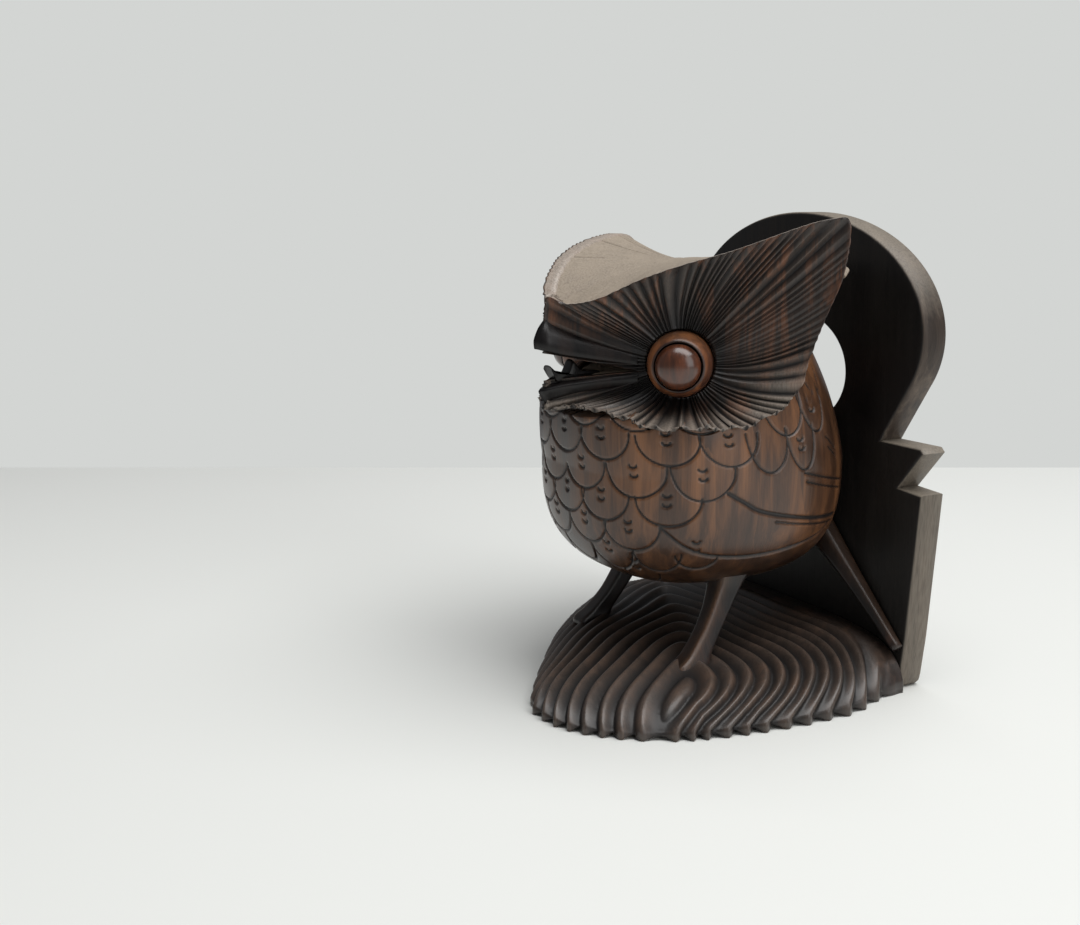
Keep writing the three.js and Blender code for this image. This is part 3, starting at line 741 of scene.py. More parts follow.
# ---- body -----------------------------------------------------------------------------------
@dataclass
class FeatheredBody:
    """The barrel body, with rows of incised scale feathers and the edge lines of each wing."""

    width: float = 46.0
    length: float = 48.4
    centre_y: float = -44.0
    waist: float = 74.0
    bottom: float = 33.0
    plan_power: float = 2.5
    belly_power: float = 2.9
    neck: float = 38.0
    neck_taper: float = 0.154
    neck_lean: float = 6.0
    seat_rear: float = 113.0
    seat_slope: float = 0.232
    cut_y: float = -0.3
    line_half: float = 0.5          # half the width of an incised line
    line_depth: float = 0.7
    nominal_top: float = 113.0      # height of the seat before it is tilted
    tilt_from: float = 84.0         # rings above this height tilt towards the seat
    shown_round: float = 117.0      # distance round from the breast that shows
    # Each feather: distance round from the breast, height of its tip, half-width, height.
    feathers: tuple[Row, ...] = (
        (0, 79.2, 10.2, 9), (19.7, 79.0, 10.2, 9), (42.4, 78.6, 10.4, 9), (62.6, 77.9, 10.2, 10),
        (9.5, 68.4, 10.2, 9.5), (30.9, 68.0, 10.4, 9.8), (52.8, 67.4, 10.4, 10.5),
        (0, 59.3, 9.8, 9), (18.4, 59.3, 10.2, 9), (41.4, 59.3, 10.6, 9), (9.5, 50.2, 9.6, 8.6),
        (28.5, 50.0, 10.2, 8.8), (0, 41.6, 9, 7.6), (18.5, 41.4, 9.2, 7.6), (37, 42.6, 8.6, 7),
        (51, 44.0, 7.6, 5), (10, 35.8, 8, 4.5), (28, 36, 8, 5),
        (76.4, 74.9, 8.0, 13), (90.2, 74.5, 6.2, 14), (85, 86, 8.6, 12.5), (99, 86, 6.6, 14),
        (10.7, 89, 10.2, 9), (32, 89, 10.2, 9), (104, 97.5, 5, 8), (53.5, 88.4, 10.2, 9),
    )
    # Each line: half-width, then its points as distance round and height.
    wing_lines: tuple[tuple[float, tuple[Row, ...]], ...] = (
        (1.0, ((60.6, 69.5), (66.3, 66.2), (72.9, 62.7), (85.1, 59.7), (98, 57.6), (114, 56.2))),
        (0.45, ((79, 58.6), (88, 56.9), (100, 55.2), (113, 54.2))),
        (0.62, ((38.8, 58.9), (43.5, 54.6), (48.1, 51.5), (54, 49.4), (61.3, 48.3), (70, 47.6),
                (80, 47.7), (89, 48.6), (98.5, 50.1), (104, 51.6), (109.5, 54.4))),
        (0.5, ((89.8, 73.5), (101, 70.6), (114, 68))),
        (0.45, ((91, 70.4), (101, 67.8), (113, 65.4))),
        (0.45, ((103, 84), (108.5, 79.5))),
        (0.45, ((103.5, 80.5), (108.5, 76.5))),
    )

    def girth(self, z: Array) -> Array:
        """Gives the plan's share of full size at a height."""
        rise = np.maximum(0, (z - self.waist) / self.neck)
        fall = np.clip((self.waist - z) / (self.waist - self.bottom), 0, 1)
        belly = (1 - fall**self.belly_power) ** (1 / self.belly_power)
        return belly * (1 - self.neck_taper * rise**2)

    def middle(self, z: Array) -> Array:
        """Gives the y of the plan's centre at a height."""
        return self.centre_y - self.neck_lean * np.maximum(0, (z - self.waist) / self.neck)

    def plan(self) -> tuple[Array, Array]:
        """Gives the plan at full girth, close together where it shows.

        Returns:
            Distances round from the breast, and the points from the plan's centre.
        """
        angle = np.linspace(-np.pi / 2, 3 * np.pi / 2, 6001)
        x, y = superellipse(angle, self.width, self.length, self.plan_power)
        run = np.concatenate([[0], np.cumsum(np.hypot(np.diff(x), np.diff(y)))])
        half = run[-1] / 2
        shown = np.linspace(-self.shown_round, self.shown_round, 500)
        hidden = np.linspace(self.shown_round, 2 * half - self.shown_round, 32)[1:-1]
        at = np.concatenate([shown, hidden])
        wrapped = np.mod(at, run[-1])
        signed = np.where(wrapped > half, wrapped - run[-1], wrapped)
        return signed, np.stack([np.interp(wrapped, run, x), np.interp(wrapped, run, y)], 1)

    def levels(self) -> Array:
        """Gives the nominal heights of the rings, evenly spaced along the profile."""
        z = np.linspace(self.bottom + 0.02, self.nominal_top, 3000)
        z = np.concatenate([[self.bottom + 0.004], z])
        steps = np.hypot(np.diff(z), self.width * np.diff(self.girth(z)))
        run = np.concatenate([[0], np.cumsum(steps)])
        fine_from, fine_to = np.interp([34.6, 98], z, run)
        steps = np.concatenate([np.linspace(0, fine_from, 12)[:-1],
                                np.arange(fine_from, fine_to, 0.47),
                                np.linspace(fine_to, run[-1], 9)])
        return np.interp(steps, run, z)

    def groove(self, u: Array, z: Array) -> Array:
        """Says how deep the incised lines are at each place, from 0 to 1."""
        depth = np.zeros_like(u)
        around = np.abs(u)
        for index, (at, tip, wide, tall) in enumerate(self.feathers):
            depth = np.maximum(depth, self.arc(around, z, at, tip, wide, tall, self.line_half))
            if wide > 9.5 or index % 2:
                for lift in (6.4, 9.4):
                    punch = self.arc(around, z, at - 0.5, tip + lift, 1.25, 0.8, 0.55)
                    depth = np.maximum(depth, punch)
        for half, line in self.wing_lines:
            points = through_points(line, 40, 0.5, False)
            near = np.full_like(u, 99.0)
            for a, b in zip(points[:-1], points[1:]):
                run = b - a
                k = np.clip(((around - a[0]) * run[0] + (z - a[1]) * run[1]) / (run @ run), 0, 1)
                near = np.minimum(near, np.hypot(around - a[0] - k * run[0], z - a[1] - k * run[1]))
            depth = np.maximum(depth, np.clip(1.25 * (1 - near / half), 0, 1))
        return depth

    @staticmethod
    def arc(u: Array, z: Array, at: float, tip: float, wide: float, tall: float,
            half: float) -> Array:
        """Says how deep a U-shaped cut is at each place, from 0 to 1."""
        dx, dz = (u - at) / wide, (z - tip - tall) / tall
        level = np.sqrt(dx**2 + dz**2) + 1e-9
        slope = np.sqrt((dx / wide) ** 2 + (dz / tall) ** 2) / level
        near = np.abs(level - 1) / np.maximum(slope, 1e-6)
        ends = np.hypot((np.abs(dx) - 1) * wide, np.maximum(dz, 0) * tall)
        return np.clip(1.25 * (1 - np.where(dz < 0, near, ends) / half), 0, 1)

    def build(self, disc: "FaceDisc") -> None:
        """Makes, carves and dresses the body.

        Args:
            disc: a facial disc, whose hidden back the body keeps clear of.
        """
        u, plan = self.plan()
        nominal = self.levels()[:, None] * np.ones_like(u)[None]
        z = nominal.copy()
        for _ in range(4):
            y = self.middle(z) + plan[None, :, 1] * self.girth(z)
            seat = self.seat_rear + self.seat_slope * np.minimum(y, self.cut_y)
            tilt = (seat - self.tilt_from) / (self.nominal_top - self.tilt_from)
            z = np.where(nominal > self.tilt_from,
                         self.tilt_from + (nominal - self.tilt_from) * tilt, nominal)
        girth = self.girth(z)
        points = np.stack([plan[None, :, 0] * girth,
                           np.minimum(self.middle(z) + plan[None, :, 1] * girth, self.cut_y), z], -1)
        points = disc.keep_behind(points)
        around = np.broadcast_to(u[None], z.shape)
        cuts = self.groove(around, z)
        # Painted shade: darkest on the far side of the breast, which is turned from the light, and
        # under the belly.
        painted_shade = 0.64 * np.maximum(1 - smoothstep(around, -6, 24), 1 - smoothstep(z, 36, 54))
        piece = skin("feathered_body", points, {
            "phase": 0.5 * (1 - cuts), "fade": np.where(z < self.bottom + 1, 0.0, 1.0),
            "painted_shade": painted_shade})
        Workshop.carve(piece, Finish.BODY, self.line_depth, 0.85)
        dress(piece, Finish.BODY, "body_wood", "body")


# ---- face -----------------------------------------------------------------------------------
@dataclass
class Eye:
    """The turned collar and the polished dome let into it, on each side."""

    along: float = 43.0
    height: float = 108.3
    hole: float = 10.6
    collar: float = 10.2
    tip: float = 8.0
    bore: float = 6.6
    dome: float = 7.1
    shank: float = 6.2
    dome_rise: float = 5.2
    foot: float = -5.2
    columns: int = 120

    def turned(self, name: str, profile: Array, side: Side) -> bpy.types.Object:
        """Turns a profile of radius, height and painted shade round the line that points out of the
        eye.
        """
        span = np.linspace(0, 2 * np.pi, self.columns, endpoint=False)
        centre = FACE.place(self.along, self.height, 0.0, side)
        out = FACE.place(0.0, 0.0, 1.0, side) - FACE.place(0.0, 0.0, 0.0, side)
        across = FACE.place(1.0, 0.0, 0.0, side) - FACE.place(0.0, 0.0, 0.0, side)
        ring = np.cos(span)[:, None] * across + np.sin(span)[:, None] * np.array([0, 0, 1.0])
        rings = centre + profile[:, None, 1:2] * out + profile[:, None, :1] * ring[None]
        painted_shade = np.broadcast_to(profile[:, 2:3], rings.shape[:2])
        return skin(name, rings, {"painted_shade": painted_shade}, looped=bool(profile[-1, 0] > 1))

    def build(self, side: Side) -> None:
        """Makes and dresses one eye."""
        bulge = through_points([(self.collar, self.foot), (self.collar, 0.6), (self.collar - 0.1, 3.2),
                                (self.collar - 0.75, 5.6), (self.collar - 1.7, 7.3),
                                (self.collar - 2.6, self.tip)], 30, 0.5, False)
        # The third column is painted shade: dark at the collar's top lip and down its bore, where the
        # dome sits.
        bulge = np.column_stack([bulge, np.where(bulge[:, 1] > self.tip - 0.5, 0.8, 0.0)])
        lip = np.array([(self.bore + 0.9, self.tip - 0.3, 1), (self.bore + 0.2, self.tip - 0.9, 1),
                        (self.bore, self.tip - 1.6, 1), (self.bore, self.foot, 1)])
        collar = self.turned(f"eye_ring_{side.word}", np.vstack([bulge, lip]), side)
        dress(collar, Finish.COLLAR, "eye_ring_wood", f"eye_collar_{side.word}")
        # The dome's stem and foot get painted shade too, where it sits down in the collar.
        span = np.radians(np.linspace(0, 89, 26))
        arc = np.stack([self.dome * np.cos(span) ** 0.92,
                        self.tip + 0.3 + self.dome_rise * np.sin(span),
                        np.where(span < 0.12, 0.9, 0.0)], 1)
        stem = np.array([(self.shank, -4.3, 1), (self.shank, self.tip - 0.9, 1),
                         (self.dome - 0.5, self.tip + 0.05, 1)])
        dome = self.turned(f"eye_bead_{side.word}", np.vstack([stem, arc]), side)
        dress(dome, Finish.DOME, "eye_wood", f"eye_dome_{side.word}")


@dataclass
class Mouth:
    """The wedge of air between the beaks."""

    corner: float = 31.0
    corner_height: float = 105.6
    floor: float = 100.6
    roof: float = 113.2
    before: float = -14.0
    depth: float = 13.0
    forward: float = 25.0

    def cutter(self, side: Side) -> bpy.types.Object:
        """Makes the wedge as a cutting shape."""
        wedge = np.array([(self.before, self.floor), (self.corner, self.corner_height),
                          (self.before, self.roof)])
        rings = np.stack([FACE.place(wedge[:, 0], wedge[:, 1], out, side)
                          for out in (-self.depth, self.forward)])
        return skin(f"mouth_{side.word}", rings)


@dataclass
class FaceDisc:
    """A dished disc, fluted from the eye to its rim, that runs up into the ear tuft."""

    thickness: float = 4.5
    dish_power: float = 1.6
    dish_depth: float = -1.0
    flutes: int = 78
    flute_depth: float = 1.35
    scallop: float = 1.3            # mm, lobes along the cheek's rim
    columns: int = 858
    rows: int = 50
    middle_gap: float = 0.15
    # The rim: distance along the disc from the beak, height, flare outwards. The ear tuft is
    # carved pointed on the left and low and round on the right.
    left_brow: tuple[Row, ...] = (
        (0, 127, 0), (6, 126.7, 3), (12, 127.3, 6), (19, 129.2, 7), (31, 134.8, 8),
        (43.5, 139.2, 8), (59, 143.7, 8), (76, 149.8, 6), (84, 152.3, 4), (92.4, 153.3, 2),
        (93.5, 147, 2), (91.5, 135, 3))
    right_brow: tuple[Row, ...] = (
        (0, 127, 0), (6, 129, 3), (12, 132.5, 5), (19, 136.2, 6), (29, 140, 7),
        (43.5, 143.5, 7), (59, 145.8, 6), (74, 146.8, 5), (84, 145.6, 4), (91, 141, 3),
        (92, 136, 3), (91, 130, 3))
    # Where along the rim, from 0 to 1, the cheek starts and ends, with its painted light and its
    # deeper flutes at the rim.
    cheek_span: Row = (0.50, 0.58, 0.90, 0.96)
    scallop_span: Row = (0.50, 0.56, 0.86, 0.92)
    brow_end: tuple[float, float] = (0.34, 0.38)
    tuft_corner: float = 0.43
    cheek: tuple[Row, ...] = (
        (87, 123.5, 4), (83, 112, 4), (79.5, 100.5, 5), (75, 96, 6), (65.3, 91, 10.5),
        (58.3, 90.3, 13), (45, 90.6, 17), (37, 90, 16.5), (26, 93, 13), (14, 94.5, 5),
        (6, 94.2, 1.5), (0, 95, 0))
    eye: Eye = field(default_factory=Eye)

    def brow(self, side: Side) -> tuple[Row, ...]:
        """Gives the rim's upper part on a side."""
        return self.left_brow if side is Side.LEFT else self.right_brow

    def rim(self, side: Side, count: int) -> Array:
        """Gives evenly spaced rim points as distance along, height and flare."""
        rim = through_points([*self.brow(side), *self.cheek], count, 0.4, True)
        share = np.arange(count) / count
        low = between(share, *self.scallop_span)
        lobes = np.abs(np.sin(np.pi * (27 * share + 0.4 * np.sin(18 * share)))) - 0.6
        away = rim[:, :2] - (self.eye.along, self.eye.height)
        away = away / np.linalg.norm(away, axis=1)[:, None]
        rim[:, :2] += away * (self.scallop * lobes * low)[:, None]
        return rim

    def sheet(self, rim: Array, t: float, offset: float) -> tuple[Array, Array, Array]:
        """Gives one ring of the disc between the eye hole and the rim.

        Args:
            rim: the rim's points.
            t: 0 at the eye hole and 1 at the rim.
            offset: distance outwards from the dished surface.

        Returns:
            Distances along, heights and distances outwards.
        """
        run = np.unwrap(np.arctan2(rim[:, 1] - self.eye.height, rim[:, 0] - self.eye.along))
        even = run[0] - 2 * np.pi * np.arange(len(rim)) / len(rim)
        swirl = lerp(run, even + (run - even).mean(), 0.55)
        hole = np.stack([self.eye.along + self.eye.hole * np.cos(swirl),
                         self.eye.height + self.eye.hole * np.sin(swirl)], 1)
        span = np.hypot(rim[:, 0] - hole[:, 0], rim[:, 1] - hole[:, 1])[:, None]
        lead = hole + 0.42 * span * np.stack([np.cos(swirl), np.sin(swirl)], 1)
        flat = (1 - t) ** 2 * hole + 2 * t * (1 - t) * lead + t**2 * rim[:, :2]
        depth = self.dish_depth + (rim[:, 2] - self.dish_depth) * t**self.dish_power
        return flat[:, 0], flat[:, 1], depth + offset

    def keep_behind(self, points: Array, clear: float = 0.5) -> Array:
        """Draws a surface back from where it would stand in front of the discs' backs.

        Args:
            points: places of the surface, on both sides.
            clear: distance kept behind the disc's back.

        Returns:
            The places, with those under a disc moved back.
        """
        return np.where(points[..., :1] < 0, self._behind(points, Side.RIGHT, clear),
                        self._behind(points, Side.LEFT, clear))

    def _behind(self, points: Array, side: Side, clear: float) -> Array:
        """Moves places back from behind one side's disc, as if all were on that side."""
        rim = self.rim(side, 220)
        steps = np.linspace(0, 1, 41)
        sheets = [np.stack(self.sheet(rim, t, 0.0), 1) for t in steps]
        centre = np.array([[self.eye.along, self.eye.height, self.dish_depth]])
        known = np.vstack([*sheets, centre])
        shares = np.append(np.repeat(steps, len(rim)), 0)
        tree = KDTree(len(known))
        for index, (a, h, _) in enumerate(known):
            tree.insert((a, h, 0.0), index)
        tree.balance()
        along, out = FACE.measure(points)
        height = points[..., 2]
        moved = points.copy()
        c, s = FACE.slant()
        near = (height > 86) & (out > -30) & (along > -4) & (along < 96)
        for place in zip(*np.nonzero(near)):
            _, index, gap = tree.find((along[place], height[place], 0.0))
            limit = known[index, 2] - self.thickness - clear
            inside = shares[index] < 0.96 and (gap < 2.5 or shares[index] == 0)
            if inside and out[place] > limit:
                shift = out[place] - limit
                x = moved[place][0]
                moved[place][0] = math.copysign(max(abs(x) - shift * s, 0.0), x)
                moved[place][1] += shift * c
        return moved

    def painted_shade(self, points: Array) -> Array:
        """Says how much painted shade there is: full round the eye and back from the mouth."""
        along, _ = FACE.measure(points)
        height = points[..., 2]
        reach = np.hypot(along - self.eye.along, height - self.eye.height)
        around = 1 - smoothstep(reach, self.eye.hole + 1.5, self.eye.hole + 13)
        line = np.abs(height - lerp(107.0, self.eye.height - 2, np.clip(along / 40, 0, 1)))
        mouth = (1 - smoothstep(line, 7.5, 17)) * (1 - smoothstep(along, 36, 52))
        return np.maximum(around, mouth) * 0.93

    def build(self, side: Side, mouth: bpy.types.Object) -> None:
        """Makes, carves and dresses one disc.

        Args:
            side: which disc.
            mouth: the mouth's cutting shape on that side.
        """
        rim = self.rim(side, self.columns)
        share = np.arange(self.columns) / self.columns
        rng = np.random.default_rng(20 + side.value)
        wander = sum(size * np.sin(2 * np.pi * (turns * share + rng.random()))
                     for turns, size in ((5, 0.5), (11, 0.28), (23, 0.14)))
        phase = self.flutes * share + wander
        deep = rng.uniform(0.62, 1.0, self.flutes + 8)[np.floor(phase).astype(int) % self.flutes]
        # The cuts grow fine and shallow at the rear corner, where the tool is lifted.
        corner = np.exp(-((share - self.tuft_corner) / 0.05) ** 2)
        deep = deep * (1 - 0.6 * corner)
        cheek = between(share, *self.cheek_span)
        edge = lerp(0.35, 1.0, cheek)
        rings, fades = [], []
        spread = np.linspace(0, 1, self.rows) ** 0.9
        for t in spread:
            rings.append(self.sheet(rim, t, 0.0))
            full = lerp(0.5, 1.0, min(1.0, t * 2.0))
            fades.append(deep * full * lerp(1.0, edge, max(0.0, t * 8 - 7)))
        # The rim's thickness and the plain back: place out from the eye, depth, fade.
        shell = [(1.0, -0.9, 0.7), (1.0, -2.4, 0.45), (1.0, -3.8, 0.2)]
        shell += [(t, -self.thickness, 0.0) for t in (0.985, 0.8, 0.5, 0.2, 0.0)]
        for t, offset, fade in shell:
            rings.append(self.sheet(rim, t, offset))
            fades.append(deep * fade * edge)
        points = np.stack([FACE.place(*ring, side) for ring in rings])
        points[..., 0] = side.value * np.maximum(side.value * points[..., 0], self.middle_gap)
        # Painted light: the cheek, whose flare faces up into the light, is made pale towards its rim,
        # and so is the brow on the rim's thickness.
        steps = np.append(spread, [0.9] * len(shell))[:, None]
        is_shell = (np.arange(len(rings)) >= self.rows)[:, None]
        painted_light = np.maximum(0.8 * cheek * smoothstep(steps, 0.35, 0.95),
                         is_shell * (1 - smoothstep(share, *self.brow_end)))
        piece = skin(f"fluted_disc_{side.word}", points, {
            "phase": np.broadcast_to(phase, (len(rings), self.columns)),
            "fade": np.stack(fades), "painted_light": painted_light,
            "painted_shade": self.painted_shade(points) * (1 - 0.85 * painted_light)}, looped=True)
        Workshop.carve(piece, Finish.DISC, self.flute_depth, 1.15)
        cut_away(piece, [mouth])
        dress(piece, Finish.DISC, "disc_wood", f"face_disc_{side.word}")


@dataclass
class Crown:
    """The head block: a pale saddle, scored with fine lines, between the ear tufts."""

    top: Row = (0.0, -48.0, 139.3)
    rear: tuple[Row, ...] = ((55, -27, 136.5), (48, -19, 137.5), (37, -13, 138.2), (20, -9, 138.6),
                             (0, -8, 138.4))
    half: int = 340
    saddle_rows: int = 44
    score_depth: float = 0.5
    # The scored lines on each side: place along the rim from the brow, and how far in they run.
    scores: tuple[tuple[float, float], ...] = (
        (0.20, 0.30), (0.34, 0.62), (0.365, 0.58), (0.47, 0.66), (0.49, 0.60), (0.60, 0.42))
    score_half: float = 0.75        # half the width of a scored line, in mm
    rim_run: float = 210.0          # mm of rim on each side
    notches: int = 17               # shallow notches in the rim, as on the discs that it backs
    seat_share: float = 0.84        # the seat's size as a share of the body's
    saddle_edge: float = 0.965      # how far up the wall its last ring below the rim lies

    def flank(self, disc: FaceDisc, side: Side) -> Array:
        """Gives one half of the rim, from the brow round to the nape."""
        front = [FACE.place(min(a, 90), h - 0.5, f - disc.thickness + 0.35, side)
                 for a, h, f in disc.brow(side)[1:10]]
        rear = [(side.value * x, y, z) for x, y, z in self.rear]
        nose = (0.0, FACE.apex_y + 4, disc.left_brow[0][1] - 0.6)
        return through_points([nose, *front, *rear], self.half, 0.3, False)

    def build(self, disc: FaceDisc, body: FeatheredBody, mouths: list[bpy.types.Object]) -> None:
        """Makes, scores and dresses the crown.

        Args:
            disc: a facial disc, whose rim the crown meets.
            body: the body that it sits on.
            mouths: the mouth's cutting shapes.
        """
        left, right = (self.flank(disc, side) for side in (Side.LEFT, Side.RIGHT))
        rim = np.vstack([left[:-1], right[::-1][:-1]])
        count = len(rim)
        place = np.linspace(0, 2, count, endpoint=False)
        share = np.where(place < 1, place, 2 - place)
        notch = np.abs(np.sin(share * np.pi * self.notches)) ** 0.5
        rim = rim + np.stack([np.zeros(count), np.zeros(count), 0.5 * (notch - 1)], 1)
        middle_y = body.centre_y - 4
        angle = np.arctan2(rim[:, 1] - middle_y, rim[:, 0])
        x, y = superellipse(angle, body.width * self.seat_share, body.length * self.seat_share,
                            body.plan_power)
        y = middle_y + y
        seat = np.stack([x, y, body.seat_rear + body.seat_slope * y + 0.3], 1)
        rings = []
        for k in np.linspace(0, self.saddle_edge, 20):
            ring = lerp(seat, rim, lerp(k**2, k, 0.35))
            ring[:, 2] = lerp(seat[:, 2], rim[:, 2], k)
            rings.append(ring)
        edge = lerp(rim, np.array(self.top), 0.006)
        rings += [rim - np.array([0, 0, 0.5]), rim, edge]
        walls = len(rings)
        inwards = np.linspace(0.02, 0.975, self.saddle_rows)
        for k in inwards:
            ring = lerp(rim, np.array(self.top), k)
            ring[:, 2] = lerp(rim[:, 2], self.top[2], math.sin(k * math.pi / 2))
            rings.append(ring)
        cuts = np.zeros((len(rings), count))
        rows = np.arange(self.saddle_rows)[:, None]
        for at, reach in self.scores:
            near = np.abs(share - at) * self.rim_run
            line = np.clip(1.4 * (1 - near / self.score_half), 0, 1)[None] * (inwards[rows] < reach)
            cuts[walls:] = np.maximum(cuts[walls:], line)
        points = np.stack(rings)
        points[:walls - 2] = disc.keep_behind(points[:walls - 2])
        piece = skin("saddle_crown", points, {
            "phase": 0.5 * (1 - cuts), "fade": np.ones_like(cuts)})
        Workshop.carve(piece, Finish.CROWN, self.score_depth, 0.8)
        cut_away(piece, mouths)
        dress(piece, Finish.CROWN, "crown_wood", "crown")


@dataclass
class Beak:
    """The hooked upper beak, the lower beak and the upturned tongue between them."""

    reach: float = 30.0
    stations: int = 61
    corners: int = 56               # points round a section
    hurry: float = 0.62             # under 1, so that the section narrows early
    upper_middle: tuple[Row, ...] = ((-4, 126), (-0.8, 122.6), (2.2, 119), (3.8, 115.2),
                                     (3.4, 112.2), (0.6, 113.2), (-4, 112.6), (-11, 112), (-11, 124))
    upper_corner: tuple[Row, ...] = ((-3, 110.6), (-1.4, 110.4), (-1.2, 109.6), (-1.1, 108.6),
                                     (-1.2, 107.6), (-1.6, 107), (-2.6, 106.8), (-4.5, 107),
                                     (-4.5, 110))
    lower_middle: tuple[Row, ...] = ((-1, 100.4), (2.1, 99), (0.6, 96.2), (-0.8, 94.6),
                                     (-6, 94.2), (-11, 94.4), (-11, 99.6), (-6, 100.6))
    lower_corner: tuple[Row, ...] = ((-1.4, 104.6), (-1.1, 103.8), (-1.1, 102.6), (-1.4, 101.6),
                                     (-2.4, 101.2), (-4.5, 101.4), (-4.5, 103.8), (-2.4, 104.6))
    tongue_line: tuple[Row, ...] = ((-82, 102.2), (-92, 101.6), (-97.4, 101.8), (-99.9, 107.1),
                                    (-97.4, 105), (-93.4, 104.4), (-91.6, 108.6), (-88.6, 105.4),
                                    (-82, 104.6))
    tongue_half: float = 2.6
    tongue_level: float = 103.0

    def half_beak(self, name: str, middle: tuple[Row, ...], corner: tuple[Row, ...],
                  node: str) -> None:
        """Makes one beak, whose section changes as it runs back along each disc.

        Args:
            name: the piece's name.
            middle: its section at the front, as distance outwards and height.
            corner: its section at the mouth's corner.
            node: the CAD node that it stands for.
        """
        centre = through_points(middle, self.corners, 0.3, True)
        ends = through_points(corner, self.corners, 0.3, True)
        rings = []
        for station in np.linspace(-1, 1, self.stations):
            side = Side.LEFT if station >= 0 else Side.RIGHT
            blend = (math.sqrt(station**2 + 0.0004) - 0.02 * (1 - abs(station))) ** self.hurry
            section = lerp(centre, ends, blend)
            points = FACE.place(abs(station) * self.reach, section[:, 1], section[:, 0], side)
            outer = np.maximum(side.value * points[:, 0], abs(station) * self.reach / 8)
            points[:, 0] = side.value * outer
            if abs(station) < 1e-9:
                points = np.stack([np.zeros(self.corners), FACE.apex_y - section[:, 0],
                                   section[:, 1]], 1)
            rings.append(points)
        piece = skin(name, np.stack(rings))
        dress(piece, Finish.BEAK, "beak_wood", node)

    def tongue(self) -> None:
        """Makes the tongue with its two upturned points."""
        line = through_points(self.tongue_line, 72, 0.22, True)
        rings = []
        for k in np.linspace(-1, 1, 13):
            narrow = 1 - 0.3 * abs(k) ** 2.5
            width = self.tongue_half * math.sin(k * math.pi / 2)
            rings.append(np.stack([np.full(72, width), line[:, 0],
                                   lerp(self.tongue_level, line[:, 1], narrow)], 1))
        dress(skin("upturned_tongue", np.stack(rings)), Finish.BEAK, "beak_wood", "tongue")

    def build(self) -> None:
        """Makes and dresses the beak's three pieces."""
        self.half_beak("hooked_beak", self.upper_middle, self.upper_corner, "upper_beak")
        self.half_beak("under_beak", self.lower_middle, self.lower_corner, "lower_beak")
        self.tongue()


# ---- legs and struts ------------------------------------------------------------------------
@dataclass
class Limbs:
    """The square legs with a foot on the mound, and the faceted struts down to the panel."""

    # Each section of a leg: height, x, y, size in x, size in y.
    leg_sections: tuple[Row, ...] = (
        (43, 27, -45, 11, 14), (36, 28, -48.8, 8, 10), (29, 30, -53.4, 6.4, 8),
        (22, 32, -58.6, 6, 7.4), (16, 34, -64, 6.4, 8.6), (12.5, 35, -67.2, 7.2, 12),
        (6, 35.2, -67.6, 6.4, 11))
    leg_tuck: dict[Side, float] = field(default_factory=lambda: {Side.LEFT: 0.0, Side.RIGHT: 0.3})
    # Each section of a strut: x, y, z, size across, size outwards.
    strut_sections: tuple[Row, ...] = (
        (19, -6, 50, 11, 9), (27, -4.9, 43, 8.4, 7.6), (36, -4, 35.2, 6.2, 6),
        (47, -3.1, 25.4, 4.6, 4.6), (59, -2.2, 14.6, 3, 3.4))
    strut_facets: tuple[Row, ...] = ((-0.5, 0.5), (-0.5, -0.1), (-0.1, -0.5), (0.5, -0.2), (0.5, 0.5))

    def leg(self, side: Side) -> None:
        """Makes and dresses one leg."""
        sections = through_points(self.leg_sections, 46, 0.35, False)
        span = np.linspace(0, 2 * np.pi, 48, endpoint=False) + np.pi / 4
        x, y = superellipse(span, 0.5, 0.5, 7.0)
        tuck = self.leg_tuck[side]
        rings = np.stack([np.stack([side.value * (s[1] - tuck * (sections[0, 0] - s[0]) + x * s[3]),
                                    s[2] + y * s[4], np.full(48, s[0])], 1) for s in sections])
        # The outer front corner, turned to the lights, is made brown: painted highlight along with
        # wear.
        edge = np.exp(-(((x - 0.5) / 0.22) ** 2 + ((y + 0.5) / 0.3) ** 2))
        piece = skin(f"square_leg_{side.word}", rings,
                     {"crest": np.broadcast_to(edge, rings.shape[:2])})
        dress(piece, Finish.LEG, "leg_wood", f"leg_{side.word}")

    def strut(self, side: Side, body: FeatheredBody) -> None:
        """Makes and dresses one strut, which starts inside the body."""
        sections = through_points(self.strut_sections, 40, 0.4, False)
        run = np.array([40, 0, -35.4]) / math.hypot(40, 35.4)
        across = np.array([-run[2], 0, run[0]])
        facets = np.array(self.strut_facets)
        bevelled = []
        for i, corner in enumerate(facets):
            before, after = facets[i - 1], facets[(i + 1) % len(facets)]
            bevelled += [lerp(corner, before, 0.10), lerp(corner, after, 0.10)]
        facets = np.array(bevelled)
        fine = np.vstack([np.linspace(facets[i], facets[(i + 1) % len(facets)], 4, endpoint=False)
                          for i in range(len(facets))])
        rings = []
        for s in sections:
            ring = s[:3] + fine[:, :1] * s[3] * across + fine[:, 1:] * np.array([0, s[4], 0])
            ring[:, 1] = np.minimum(ring[:, 1], body.cut_y)
            ring[:, 0] *= side.value
            rings.append(ring)
        # Painted highlight along with wear: one long edge is made paler.
        edge = 0.25 * np.exp(-((fine[:, 0] - 0.5) / 0.2) ** 2)
        rings = np.stack(rings)
        piece = skin(f"tail_brace_{side.word}", rings,
                     {"crest": np.broadcast_to(edge, rings.shape[:2])})
        dress(piece, Finish.LEG, "leg_wood", f"tail_strut_{side.word}")


